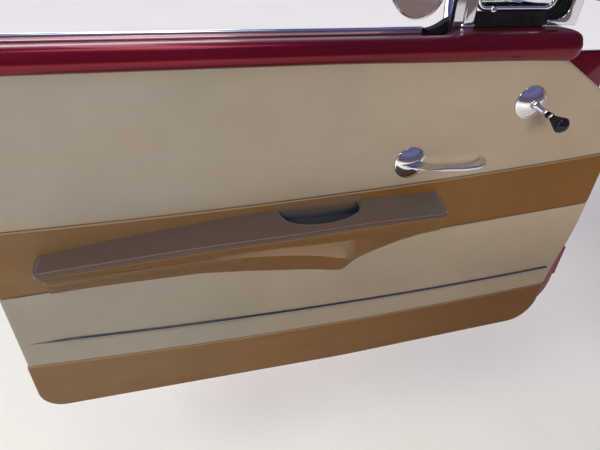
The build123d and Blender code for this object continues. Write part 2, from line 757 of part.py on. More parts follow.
# Weatherstrip round the closing faces, below the notch
with BuildPart() as weatherstrip:
    with BuildSketch(side(WEATHER_DEPTH + WEATHER_WIDTH)):
        with BuildLine():
            add(trim_outline())
        make_face()
        offset(amount=WEATHER_PROUD - SHELL_INSET)
        with Locations((0, -TRIM_NOTCH_DROP)):
            Rectangle(
                4 * TRIM_LENGTH, TRIM_HEIGHT, align=(Align.CENTER, Align.MIN), mode=Mode.SUBTRACT
            )
    extrude(amount=WEATHER_WIDTH)
    with BuildSketch(side(WEATHER_DEPTH + WEATHER_WIDTH)):
        with BuildLine():
            add(trim_outline())
        make_face()
        offset(amount=-SHELL_INSET)
    extrude(amount=WEATHER_WIDTH, mode=Mode.SUBTRACT)
save(weatherstrip, "weatherstrip")


def lowered(points, drop):
    """A line's points, moved down."""
    return [(along, height - drop) for along, height in points]


def rest_profile(upper, lower):
    """The armrest's side view between two arched lines."""
    with BuildSketch() as profile:
        with BuildLine():
            ThreePointArc(*upper)
            Line(upper[-1], lower[-1])
            ThreePointArc(*lower)
            Line(lower[0], upper[0])
        make_face()
    return profile.sketch


REST_BULK = 2 * REST_REACH[2][1]


def rest_bulk(upper, lower, inset):
    """The armrest between two lines: widest at the cup, rounded at its cabin corners."""
    rear, swell, widest, front = [(x, inset - reach) for x, reach in REST_REACH]
    with BuildPart(mode=Mode.PRIVATE) as bulk:
        with BuildSketch(side(0)):
            add(rest_profile(upper, lower))
        extrude(amount=REST_BULK)
        with BuildSketch(plan(-TRIM_HEIGHT)) as outline:
            with BuildLine():
                ThreePointArc((rear[0] + inset, rear[1]), swell, widest)
                Polyline(
                    widest,
                    (front[0] - inset, front[1]),
                    (REST_FRONT - inset, 0),
                    (rear[0] + inset, 0),
                    (rear[0] + inset, rear[1]),
                )
            make_face()
            for corner, radius in ((rear, REST_REAR_RADIUS), (front, REST_FRONT_RADIUS)):
                fillet(outline.vertices().sort_by_distance(corner)[0], radius=radius)
        extrude(amount=TRIM_HEIGHT, mode=Mode.INTERSECT)
    return bulk.part


with BuildPart(mode=Mode.PRIVATE) as pull_cup:
    with BuildSketch(plan(CUP_FLOOR)):
        with BuildLine():
            deepest = (CUP_DEEPEST[0], -CUP_DEEPEST[1])
            TangentArc(deepest, (CUP_START, 0), tangent=(-1, 0))
            TangentArc(deepest, (CUP_END, 0), tangent=(1, 0))
            Line((CUP_START, 0), (CUP_END, 0))
        make_face()
    extrude(amount=TRIM_HEIGHT)

# Armrest: a padded top with a pull cup at the wall, on a trimmed base
PAD_FOOT = lowered(REST_TOP, PAD_THICKNESS)
with BuildPart() as armrest_pad:
    add(rest_bulk(REST_TOP, PAD_FOOT, 0))
    pad_top = armrest_pad.faces().sort_by(Axis.Z)[-1]
    free_edges = pad_top.edges().filter_by(lambda edge: (edge @ 0.5).Y < TRIM_Y - PAD_OVERHANG)
    fillet(free_edges, radius=PAD_ROUND)
    add(pull_cup.part, mode=Mode.SUBTRACT)
save(armrest_pad, "armrest_pad")

with BuildPart() as armrest_base:
    add(rest_bulk(PAD_FOOT, REST_FOOT, PAD_OVERHANG))
    add(pull_cup.part, mode=Mode.SUBTRACT)
save(armrest_base, "armrest_base")


def arc_height(points, along):
    """The height of a shallow arc through three points, at a distance along."""
    start, middle, end = points
    share = (along - start[0]) / (end[0] - start[0])
    middle_share = (middle[0] - start[0]) / (end[0] - start[0])
    chord = start[1] + share * (end[1] - start[1])
    rise = middle[1] - start[1] - middle_share * (end[1] - start[1])
    return chord + rise * share * (1 - share) / (middle_share * (1 - middle_share))


# Shelf below the armrest: its top slopes out to an edge that swells to a tip, its face leans
# back in to the band's lower seam, and in front of the tip it sweeps back to the wall
with BuildPart() as armrest_shelf:
    for along, root, edge, edge_height, foot in SHELF_STATIONS:
        crest = arc_height(REST_FOOT, along) + PAD_OVERHANG
        if along > SHELF_SLOPE_END:
            crest = edge_height + edge - root
        seam_height = arc_height(BAND_SEAM, along)
        with BuildSketch(section(along)):
            with BuildLine():
                Polyline(
                    (0, crest),
                    (-root, crest),
                    (-edge, edge_height),
                    (-foot, seam_height),
                    (0, seam_height),
                    close=True,
                )
            make_face()
    loft(ruled=True)
    add(rest_bulk(REST_TOP, REST_FOOT, PAD_OVERHANG), mode=Mode.SUBTRACT)
save(armrest_shelf, "armrest_shelf")


def turned(start, direction, outline):
    """A turned piece: its outline is drawn by a function as (distance, radius)."""
    across = Vector(direction).cross(Vector(1, 1, 1))
    plane = Plane(origin=start, x_dir=direction, z_dir=across)
    with BuildPart(mode=Mode.PRIVATE) as piece:
        with BuildSketch(plane):
            with BuildLine():
                outline()
            make_face()
        revolve(axis=Axis(start, direction))
    return piece.part


def sphere_cap(start, radius, end):
    """Draws a part of a sphere, from its rim to its pole on the axis."""
    bulge = end - start
    sphere = (radius**2 + bulge**2) / (2 * bulge)
    half = asin(radius / sphere) / 2
    middle = (end - sphere * (1 - cos(half)), sphere * sin(half))
    return ThreePointArc((start, radius), middle, (end, 0))


def dome():
    """A shallow dome's outline: a short lip, then a part of a sphere."""
    rim = Polyline((0, 0), (0, ESCUTCHEON_RADIUS), (DOME_LIP, ESCUTCHEON_RADIUS))
    crown = sphere_cap(DOME_LIP, ESCUTCHEON_RADIUS, ESCUTCHEON_HEIGHT)
    Line(crown @ 1, rim @ 0)


def round_bar(start, end, radii):
    """A tapered round bar between two points given as (along, depth, height)."""
    foot, tip = spot(*start), spot(*end)
    with BuildPart(mode=Mode.PRIVATE) as bar:
        for point, radius in ((foot, radii[0]), (tip, radii[1])):
            with BuildSketch(Plane(origin=point, z_dir=tip - foot)):
                Circle(radius)
        loft()
    return bar.part


def dome_at(place):
    """The dome on the panel at a place, standing into the cabin."""
    return turned(spot(place[0], 0, place[1]), Vector(0, -1, 0), dome)


# Domed escutcheons of the inside handle and the vent crank
for name, place in (("handle_escutcheon", HANDLE_PLACE), ("crank_escutcheon", CRANK_PLACE)):
    with BuildPart() as escutcheon:
        add(dome_at(place))
    save(escutcheon, name)

# Inside handle: a flat web grows out of the dome into a blade whose end turns to the panel
lever_plane = Plane(
    origin=spot(HANDLE_PLACE[0], 0, HANDLE_PLACE[1]), x_dir=(1, 0, 0), z_dir=(0, 0, 1)
).rotated((0, -LEVER_TILT, 0))
LEVER_BACK = LEVER_BLADE - LEVER_STAND
CURL_ALONG = (LEVER_GRIP + 2 * LEVER_TIP) / 3
with BuildPart() as inside_handle:
    with BuildSketch(lever_plane.offset(-LEVER_THICKNESS / 2)):
        with BuildLine():
            face = ThreePointArc(
                (-LEVER_ROOT, 0),
                (-LEVER_ROOT / 2, -LEVER_BULGE * LEVER_STAND),
                (LEVER_ROOT, -LEVER_STAND),
            )
            Line(face @ 1, (LEVER_GRIP, -LEVER_STAND))
            curl = ThreePointArc(
                (LEVER_GRIP, -LEVER_STAND),
                (CURL_ALONG, -LEVER_CURL[0] * LEVER_STAND),
                (LEVER_TIP, -LEVER_TIP_DEPTH),
            )
            Line(curl @ 1, (LEVER_TIP - LEVER_BLADE, -LEVER_TIP_DEPTH))
            inner = ThreePointArc(
                (LEVER_TIP - LEVER_BLADE, -LEVER_TIP_DEPTH),
                (CURL_ALONG - LEVER_BLADE, LEVER_CURL[1] * LEVER_BACK),
                (LEVER_GRIP - LEVER_BLADE, LEVER_BACK),
            )
            web = ThreePointArc(
                inner @ 1,
                (2 * LEVER_ROOT, LEVER_BACK + LEVER_BLADE / 2),
                (LEVER_ROOT, 0),
            )
            Line(web @ 1, face @ 0)
        make_face()
    extrude(amount=LEVER_THICKNESS)
    add(dome_at(HANDLE_PLACE), mode=Mode.SUBTRACT)
save(inside_handle, "inside_handle")

# Vent crank: a short arm from the dome's centre, then a dark flared knob
crank_x, crank_z = CRANK_PLACE
hub_end = (crank_x, -ESCUTCHEON_HEIGHT - CRANK_HUB, crank_z)
with BuildPart() as vent_crank:
    add(round_bar((crank_x, 0, crank_z), hub_end, (CRANK_HUB, CRANK_HUB)))
    add(round_bar((crank_x, -ESCUTCHEON_HEIGHT, crank_z), ARM_END, ARM_RADII))
    add(dome_at(CRANK_PLACE), mode=Mode.SUBTRACT)
save(vent_crank, "vent_crank")


def knob():
    """The knob's outline: a slim neck, a flare and a rounded end."""
    neck = Polyline((0, 0), (0, KNOB_NECK), (KNOB_NECK_LENGTH, KNOB_NECK))
    Line(neck @ 1, (KNOB_WIDEST, KNOB_RADIUS))
    end = sphere_cap(KNOB_WIDEST, KNOB_RADIUS, KNOB_LENGTH)
    Line(end @ 1, neck @ 0)


with BuildPart() as crank_knob:
    add(turned(spot(*ARM_END), Vector(KNOB_AXIS), knob))
    add(vent_crank.part, mode=Mode.SUBTRACT)
save(crank_knob, "crank_knob")

# Outside mirror: foot and stem on the skin's top edge, round head turned to the driver
mirror_origin = spot(*MIRROR_CENTRE)
facing = Vector(MIRROR_FACING).normalized()
PANE_FACE = MIRROR_RIM - MIRROR_BEZEL
PANE_RADIUS = MIRROR_RADIUS - MIRROR_BEZEL


def mirror_case():
    """The head's outline: a domed back and a bezel round the glass."""
    back = sphere_cap(0, MIRROR_RADIUS, -MIRROR_BACK)
    Polyline(
        back @ 0,
        (MIRROR_RIM, MIRROR_RADIUS),
        (MIRROR_RIM, PANE_RADIUS),
        (PANE_FACE, PANE_RADIUS),
        (PANE_FACE, 0),
        back @ 1,
    )


with BuildPart() as mirror_head:
    add(turned(mirror_origin, facing, mirror_case))
save(mirror_head, "mirror_head")

with BuildPart() as mirror_glass:
    with BuildSketch(Plane(origin=mirror_origin + facing * PANE_FACE, z_dir=facing)):
        Circle(PANE_RADIUS)
    extrude(amount=MIRROR_PANE)
save(mirror_glass, "mirror_glass")

with BuildPart() as mirror_stem:
    with BuildSketch(plan(BELT_HEIGHT)):
        with Locations(MIRROR_FOOT[:2]):
            Circle(MIRROR_FOOT_RADIUS)
    extrude(amount=MIRROR_FOOT_HEIGHT)
    head_back = [c - f * STEM_REACH for c, f in zip(MIRROR_CENTRE, facing)]
    add(round_bar(MIRROR_FOOT, MIRROR_ELBOW, (STEM_FOOT_RADIUS, STEM_RADIUS)))
    add(round_bar(MIRROR_ELBOW, head_back, (STEM_RADIUS, STEM_RADIUS)))
    with Locations(spot(*MIRROR_ELBOW)):
        Sphere(STEM_RADIUS)
    add(mirror_head.part, mode=Mode.SUBTRACT)
    with BuildSketch(plan(0)):
        with Locations(MIRROR_FOOT[:2]):
            Rectangle(4 * MIRROR_FOOT_RADIUS, 4 * MIRROR_FOOT_RADIUS)
    extrude(amount=BELT_HEIGHT, mode=Mode.SUBTRACT)
save(mirror_stem, "mirror_stem")

# Outside handle: a bow with its two feet on the skin
GRIP_MIDDLE = (GRIP_REAR + GRIP_FRONT) / 2
with BuildPart() as outside_handle:
    with BuildSketch(plan(GRIP_HEIGHT - GRIP_WIDTH / 2)):
        with BuildLine():
            outer = ThreePointArc(
                (GRIP_REAR, BELT_DEPTH),
                (GRIP_MIDDLE, BELT_DEPTH + GRIP_STAND),
                (GRIP_FRONT, BELT_DEPTH),
            )
            inner = ThreePointArc(
                (GRIP_REAR + GRIP_FOOT, BELT_DEPTH),
                (GRIP_MIDDLE, BELT_DEPTH + GRIP_STAND - GRIP_BAR),
                (GRIP_FRONT - GRIP_FOOT, BELT_DEPTH),
            )
            Line(outer @ 0, inner @ 0)
            Line(outer @ 1, inner @ 1)
        make_face()
    extrude(amount=GRIP_WIDTH)
    fillet(outside_handle.edges().filter_by(GeomType.CIRCLE), radius=GRIP_ROUND)
    add(skin_bulk(0), mode=Mode.SUBTRACT)
save(outside_handle, "outside_handle")

for name, place, radius, reach in (
    ("push_button", (BUTTON_ALONG, GRIP_HEIGHT), BUTTON_RADIUS, BUTTON_REACH),
    ("key_lock", (BUTTON_ALONG, GRIP_HEIGHT - LOCK_DROP), LOCK_RADIUS, LOCK_REACH),
):
    with BuildPart() as stud:
        with BuildSketch(side(BELT_DEPTH)):
            with Locations(place):
                Circle(radius)
        extrude(amount=-reach)
        chamfer(stud.edges().group_by(Axis.Y)[-1], length=BUTTON_EDGE)
        add(skin_bulk(0), mode=Mode.SUBTRACT)
    save(stud, name)

# Latch on the rear closing face: plate and toothed rotor
latch_face = Plane(
    origin=spot(SHELL_INSET, LATCH_DEPTH, LATCH_HEIGHT), x_dir=(0, -1, 0), z_dir=(-1, 0, 0)
)
with BuildPart() as latch_plate:
    with BuildSketch(latch_face):
        RectangleRounded(LATCH_WIDTH, LATCH_LENGTH, LATCH_CORNER)
    extrude(amount=LATCH_PLATE)
save(latch_plate, "latch_plate")

with BuildPart() as latch_rotor:
    with BuildSketch(latch_face.offset(LATCH_PLATE)):
        Circle(ROTOR_RADIUS)
        with PolarLocations(ROTOR_RADIUS, ROTOR_TEETH):
            Circle(ROTOR_NOTCH, mode=Mode.SUBTRACT)
    extrude(amount=ROTOR_LENGTH)
save(latch_rotor, "latch_rotor")

# Hinges: a door leaf with two lugs, a pillar leaf with the knuckle between them, and a pin
HALF_KNUCKLE = KNUCKLE_HEIGHT / 2
LUG_START = HALF_KNUCKLE + KNUCKLE_GAP
PIN_TOP = LUG_START + LUG_HEIGHT + KNUCKLE_GAP
for name, height in HINGE_HEIGHTS.items():
    with BuildPart() as door_leaf:
        for low in (LUG_START, -LUG_START - LUG_HEIGHT):
            with BuildSketch(pin_plan(height + low)):
                Circle(KNUCKLE_RADIUS)
                with BuildLine():
                    Polyline(
                        (-PIN_AHEAD, KNUCKLE_RADIUS),
                        (0, KNUCKLE_RADIUS),
                        (0, -KNUCKLE_RADIUS),
                        (-PIN_AHEAD, KNUCKLE_RADIUS - LEAF_WIDTH),
                        close=True,
                    )
                make_face()
                Circle(PIN_RADIUS + PIN_CLEARANCE, mode=Mode.SUBTRACT)
            extrude(amount=LUG_HEIGHT)
        with BuildSketch(pin_plan(height - LEAF_HEIGHT / 2)):
            with Locations((-PIN_AHEAD, KNUCKLE_RADIUS)):
                Rectangle(LEAF_THICKNESS, LEAF_WIDTH, align=(Align.MIN, Align.MAX))
        extrude(amount=LEAF_HEIGHT)
    save(door_leaf, f"{name}_door_leaf")

    with BuildPart() as pillar_leaf:
        with BuildSketch(pin_plan(height - HALF_KNUCKLE, OPEN_ANGLE)):
            Circle(KNUCKLE_RADIUS)
            with BuildLine():
                Polyline(
                    (0, KNUCKLE_RADIUS),
                    (PAD_AHEAD - LEAF_THICKNESS, -LEAF_THICKNESS),
                    (PAD_AHEAD - LEAF_THICKNESS, -LEAF_WIDTH),
                    (0, -KNUCKLE_RADIUS),
                    close=True,
                )
            make_face()
            Circle(PIN_RADIUS, mode=Mode.SUBTRACT)
        extrude(amount=KNUCKLE_HEIGHT)
        with BuildSketch(pin_plan(height - LEAF_HEIGHT / 2, OPEN_ANGLE)):
            with Locations((PAD_AHEAD, -PAD_INBOARD)):
                Rectangle(LEAF_THICKNESS, PAD_WIDTH, align=(Align.MAX, Align.CENTER))
        extrude(amount=LEAF_HEIGHT)
        pad_centre = pin_plan(height, OPEN_ANGLE).from_local_coords((PAD_AHEAD, -PAD_INBOARD, 0))
        pad_normal = (cos(SWING), sin(SWING), 0)
        with BuildSketch(Plane(origin=pad_centre, x_dir=(0, 0, 1), z_dir=pad_normal)):
            with PolarLocations(PAD_BOLT_CIRCLE / 2, PAD_BOLTS, start_angle=180 / PAD_BOLTS):
                Circle(BOLT_HOLE_RADIUS)
        extrude(amount=-LEAF_THICKNESS, mode=Mode.SUBTRACT)
    save(pillar_leaf, f"{name}_pillar_leaf")

    with BuildPart() as hinge_pin:
        with BuildSketch(pin_plan(height - PIN_TOP - PIN_HEAD_HEIGHT)):
            Circle(PIN_RADIUS)
        extrude(amount=2 * PIN_TOP + PIN_HEAD_HEIGHT)
        with BuildSketch(pin_plan(height + PIN_TOP)):
            Circle(PIN_HEAD_RADIUS)
        extrude(amount=PIN_HEAD_HEIGHT)
    save(hinge_pin, f"{name}_hinge_pin")
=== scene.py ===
"""Looks of the left front door of a 1950s convertible, dressed round its CAD model.

Places are (along, depth, height) in millimetres: along runs forward from the trim's rear
edge, depth runs outward from the trim's cabin face, and height runs up from the belt line.
"""

from math import acos, atan2, cos, pi, radians, sin

import bmesh
import bpy
import numpy as np
from mathutils import Matrix, Vector

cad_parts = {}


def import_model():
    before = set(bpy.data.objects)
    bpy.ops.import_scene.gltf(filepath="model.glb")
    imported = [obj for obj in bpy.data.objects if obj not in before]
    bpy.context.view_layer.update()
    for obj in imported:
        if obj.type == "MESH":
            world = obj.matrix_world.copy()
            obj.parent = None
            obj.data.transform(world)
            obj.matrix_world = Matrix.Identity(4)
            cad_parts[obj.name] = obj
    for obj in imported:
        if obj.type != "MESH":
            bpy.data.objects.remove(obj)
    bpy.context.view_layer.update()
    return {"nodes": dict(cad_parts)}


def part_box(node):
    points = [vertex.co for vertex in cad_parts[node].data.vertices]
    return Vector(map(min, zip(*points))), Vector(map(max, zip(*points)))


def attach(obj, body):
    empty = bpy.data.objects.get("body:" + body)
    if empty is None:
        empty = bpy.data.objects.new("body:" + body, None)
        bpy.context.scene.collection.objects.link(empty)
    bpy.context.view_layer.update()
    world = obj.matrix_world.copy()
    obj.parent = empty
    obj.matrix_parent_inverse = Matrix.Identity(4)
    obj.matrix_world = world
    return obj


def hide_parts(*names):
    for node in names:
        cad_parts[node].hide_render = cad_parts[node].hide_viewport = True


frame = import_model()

MM = 0.001

# The door's origin in the model's frame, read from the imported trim
TRIM_OVER_BELT = 10
FIELD_LOW, FIELD_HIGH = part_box("upper_trim_field")
ORIGIN = np.array([FIELD_LOW.x, FIELD_LOW.y, FIELD_HIGH.z - TRIM_OVER_BELT * MM])

# The trim's outline as corners with their radii, and the three seams across it
TRIM_EDGE = [
    ((0, TRIM_OVER_BELT), 2), ((915, TRIM_OVER_BELT), 8), ((925, 0), 8), ((1105, -104.5), 175),
    ((1103, -370), 500), ((1082, -470), 150), ((1080, -620), 66), ((600, -637.5), 1500),
    ((-3.5, -632.5), 42), ((-3, -519), 8), ((0, -507), 8),
]
TRIM_THICKNESS = 6
UPPER_SEAM = [(0, -223.5), (490, -218.3), (1105, -182)]
BAND_SEAM = [(0, -350), (490, -330), (1105, -296)]
LOWER_SEAM = [(0, -511), (490, -527.5), (1105, -508.6)]


# Plane curves
def arc(points, count=60):
    """Points of the circle's arc through three points."""
    (ax, ay), (bx, by), (cx, cy) = points
    d = 2 * (ax * (by - cy) + bx * (cy - ay) + cx * (ay - by))
    a2, b2, c2 = ax**2 + ay**2, bx**2 + by**2, cx**2 + cy**2
    x0 = (a2 * (by - cy) + b2 * (cy - ay) + c2 * (ay - by)) / d
    y0 = (a2 * (cx - bx) + b2 * (ax - cx) + c2 * (bx - ax)) / d
    start = atan2(ay - y0, ax - x0)
    turn = (atan2(cy - y0, cx - x0) - start) % (2 * pi)
    middle = (atan2(by - y0, bx - x0) - start) % (2 * pi)
    if middle > turn:
        turn -= 2 * pi
    radius = np.hypot(ax - x0, ay - y0)
    angles = start + np.linspace(0, turn, count)
    return np.column_stack([x0 + radius * np.cos(angles), y0 + radius * np.sin(angles)])


def rounded(corners, steps=14):
    """A line of straight runs with its corners rounded; corners are ((x, y), radius)."""
    points = [np.array(p, float) for p, _ in corners]
    made = []
    for i, (_, radius) in enumerate(corners):
        p = points[i]
        a = points[i - 1] - p
        b = points[(i + 1) % len(points)] - p
        a, b = a / np.linalg.norm(a), b / np.linalg.norm(b)
        half = acos(np.clip(a @ b, -1, 1)) / 2
        if radius == 0 or half > pi / 2 - 1e-4:
            made.append(p)
            continue
        middle = (a + b) / np.linalg.norm(a + b)
        centre = p + middle * radius / sin(half)
        first, last = p + a * radius / np.tan(half), p + b * radius / np.tan(half)
        t0, t1 = first - centre, last - centre
        angle = acos(np.clip(t0 @ t1 / radius**2, -1, 1))
        for s in np.linspace(0, 1, steps):
            made.append(centre + (sin((1 - s) * angle) * t0 + sin(s * angle) * t1) / sin(angle))
    return np.array(made)


def spline(points, count):
    """A smooth line through points of any dimension, evenly spaced by length."""
    p = np.array(points, float)
    t = np.concatenate([[0], np.cumsum(np.linalg.norm(np.diff(p, axis=0), axis=1))])
    n = len(t)
    h = np.diff(t)
    matrix = np.eye(n)
    rhs = np.zeros_like(p)
    for i in range(1, n - 1):
        matrix[i, i - 1 : i + 2] = h[i - 1], 2 * (h[i - 1] + h[i]), h[i]
        rhs[i] = 6 * ((p[i + 1] - p[i]) / h[i] - (p[i] - p[i - 1]) / h[i - 1])
    m = np.linalg.solve(matrix, rhs)
    fine = np.linspace(0, t[-1], count)
    i = np.clip(np.searchsorted(t, fine) - 1, 0, n - 2)
    a = ((t[i + 1] - fine) / h[i])[:, None]
    b = ((fine - t[i]) / h[i])[:, None]
    bend = (a**3 - a) * m[i] + (b**3 - b) * m[i + 1]
    return a * p[i] + b * p[i + 1] + bend * (h[i] ** 2)[:, None] / 6


def smooth(x, low, high):
    """Eases from 0 at low to 1 at high."""
    t = np.clip((np.asarray(x, float) - low) / (high - low), 0, 1)
    return t * t * (3 - 2 * t)


def height_at(points, x, count=160):
    """The height of a three-point arc at a distance along."""
    line = arc(points, count)
    line = line[np.argsort(line[:, 0])]
    return np.interp(x, line[:, 0], line[:, 1])


def nearest(points, line):
    """Each point's distance to a line of straight runs."""
    a = line[:-1]
    run = line[1:] - a
    size = np.maximum((run**2).sum(1), 1e-12)
    best = np.full(len(points), 1e9)
    for start, way, length in zip(a, run, size):
        t = np.clip(((points - start) @ way) / length, 0, 1)
        best = np.minimum(best, np.linalg.norm(points - start - t[:, None] * way, axis=1))
    return best


def ends(low, high, count, fine=(0.4, 1, 2, 3.5, 6, 10)):
    """Distances from low to high, closer together at both ends."""
    fine = np.array(fine) * min(1.0, (high - low) / 30)
    inner = np.linspace(low + fine[-1], high - fine[-1], count)
    return np.concatenate([[low], low + fine[:-1], inner, high - fine[:-1][::-1], [high]])


def stations(*parts):
    """Distances in rising order, each one once."""
    return np.unique(np.concatenate(parts))


def between(x, first, last, share):
    """Plane points in columns: at each distance along, shares of the way from first to last."""
    value = first[:, None] + (last - first)[:, None] * share
    return np.column_stack([np.repeat(x, len(share)), value.ravel()])


def closed(line):
    """A loop's points with the first one again at the end."""
    return np.concatenate([line, line[:1]])


def fine_line(line, step):
    """A line with points at even steps."""
    t = np.concatenate([[0], np.cumsum(np.linalg.norm(np.diff(line, axis=0), axis=1))])
    fine = np.linspace(0, t[-1], int(t[-1] / step) + 2)
    return np.column_stack([np.interp(fine, t, line[:, 0]), np.interp(fine, t, line[:, 1])])


def edge_heights(x, outline):
    """An outline's upper and lower height at a distance along."""
    start = np.argmax(outline[:, 1] - 1000 * outline[:, 0])
    loop = np.roll(outline, -start, axis=0)
    turn = np.argmax(loop[:, 0] - 1e-6 * np.arange(len(loop)))
    upper, lower = loop[: turn + 1], loop[turn:][::-1]
    upper = upper[np.argsort(upper[:, 0], kind="stable")]
    lower = lower[np.argsort(lower[:, 0], kind="stable")]
    last = np.where(lower[:, 0] >= lower[-1, 0] - 1e-6)[0]
    lower[last, 1] = lower[last, 1].min()
    return np.interp(x, upper[:, 0], upper[:, 1]), np.interp(x, lower[:, 0], lower[:, 1])


# Meshes
def places(along, depth, height):
    """Points from three coordinates, each a number or a row of numbers."""
    return np.column_stack(np.broadcast_arrays(along, depth, height))


def upright(line, depth):
    """A side-view line of (along, height) points, stood at a depth."""
    return places(line[:, 0], depth, line[:, 1])


def lying(line, height):
    """A plan line of (along, reach from the trim) points, laid at a height."""
    return places(line[:, 0], -line[:, 1], height)


def world(points):
    """Door places in millimetres as places in the model's frame."""
    return np.asarray(points, float) * MM + ORIGIN


def world_height(height):
    return world((0, 0, height))[2]


class Build:
    """Gathers patches of one piece, then makes it a mesh that moves with the door."""

    def __init__(self, name):
        self.name, self.points, self.faces, self.count = name, [], [], 0

    def patch(self, points, faces):
        self.points.append(np.asarray(points, float).reshape(-1, 3))
        self.faces += [tuple(i + self.count for i in face) for face in faces]
        self.count += len(self.points[-1])

    def grid(self, rows, wrap=False, cap=False):
        """A surface from rows of points; wrap joins each row's ends, cap closes first and last."""
        rows = np.asarray(rows, float)
        n, m = rows.shape[:2]
        faces = []
        for i in range(n - 1):
            for j in range(m if wrap else m - 1):
                k = (j + 1) % m
                faces.append((i * m + j, i * m + k, (i + 1) * m + k, (i + 1) * m + j))
        if cap:
            faces += [tuple(range(m))[::-1], tuple(range((n - 1) * m, n * m))]
        self.patch(rows, faces)

    def flange(self, rows, depth):
        """Turns a panel's four borders back to one depth."""
        for border in (rows[:, 0], rows[:, -1], rows[0], rows[-1]):
            self.grid([border, upright(border[:, [0, 2]], depth)])

    def fan(self, row, heart=None):
        """Closes an open end with triangles to a middle point."""
        heart = np.mean(row, axis=0) if heart is None else heart
        self.patch(np.concatenate([row, [heart]]), [(i, i + 1, len(row)) for i in range(len(row) - 1)])

    def make(self, material, node=None, slot="chrome", sharp=32, merge=0.01):
        mesh = bpy.data.meshes.new(self.name)
        mesh.from_pydata(world(np.concatenate(self.points)).tolist(), [], self.faces)
        obj = bpy.data.objects.new(self.name, mesh)
        bpy.context.scene.collection.objects.link(obj)
        mesh.materials.append(material)
        clean(mesh, merge * MM)
        mesh.polygons.foreach_set("use_smooth", [len(p.vertices) < 5 for p in mesh.polygons])
        if sharp:
            mesh.set_sharp_from_angle(angle=radians(sharp))
        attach(obj, "door")
        if node:
            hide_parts(node)
        return obj


def clean(mesh, distance):
    """Merges points that coincide, drops faces without area and turns all faces outward."""
    bm = bmesh.new()
    bm.from_mesh(mesh)
    bmesh.ops.remove_doubles(bm, verts=bm.verts, dist=distance)
    bmesh.ops.dissolve_degenerate(bm, edges=bm.edges, dist=distance / 10)
    bmesh.ops.recalc_face_normals(bm, faces=bm.faces)
    bm.to_mesh(mesh)
    bm.free()


def frames(path, up):
    """Side and normal along a path, kept upright where it allows."""
    tangent = np.gradient(np.asarray(path, float), axis=0)
    tangent /= np.linalg.norm(tangent, axis=1)[:, None]
    side = np.cross(tangent, np.asarray(up, float))
    flat = np.linalg.norm(side, axis=1) < 1e-3
    side[flat] = np.cross(tangent[flat], (1, 0, 0))
    side /= np.linalg.norm(side, axis=1)[:, None]
    return side, np.cross(side, tangent)


def ring(count, squareness=2.0):
    """A unit circle, or a rounded square as the number grows."""
    angles = np.linspace(0, 2 * pi, count, endpoint=False)
    c, s = np.cos(angles), np.sin(angles)
    k = 2 / squareness
    return np.column_stack([np.sign(c) * abs(c) ** k, np.sign(s) * abs(s) ** k])


def swept(build, path, radii, profile, up=(0, 0, 1), close=False):
    """A bar along a path; radii are one or two sizes, each a number or one for each point."""
    path = np.asarray(path, float)
    wide, high = radii if isinstance(radii, tuple) else (radii, radii)
    wide = np.broadcast_to(np.asarray(wide, float), len(path))
    high = np.broadcast_to(np.asarray(high, float), len(path))
    if close:
        loop = np.concatenate([path[-2:-1], path, path[1:2]])
        side, normal = (v[1:-1] for v in frames(loop, up))
    else:
        side, normal = frames(path, up)
    rows = [
        p + np.outer(profile[:, 0] * w, s) + np.outer(profile[:, 1] * h, n)
        for p, s, n, w, h in zip(path, side, normal, wide, high)
    ]
    build.grid(rows, wrap=True, cap=not close)


def lathed(build, place, direction, outline, count=64):
    """A turned form: outline is (distance, radius) points along a direction from a place."""
    d = np.array(direction, float)
    d /= np.linalg.norm(d)
    a = np.cross(d, (0.31, 0.2, 0.93))
    a /= np.linalg.norm(a)
    b = np.cross(d, a)
    angles = np.linspace(0, 2 * pi, count, endpoint=False)
    around = np.outer(np.cos(angles), a) + np.outer(np.sin(angles), b)
    rows = [np.array(place, float) + s * d + max(r, 1e-4) * around for s, r in outline]
    build.grid(rows, wrap=True)


def cap_outline(base, radius, top, steps):
    """A domed end from its rim to its pole, as (distance, radius)."""
    bulge = top - base
    sphere = (radius**2 + bulge**2) / (2 * bulge)
    half = np.arcsin(min(1.0, radius / sphere))
    return [(top - sphere * (1 - cos(a)), sphere * sin(a)) for a in np.linspace(half, 0, steps)]


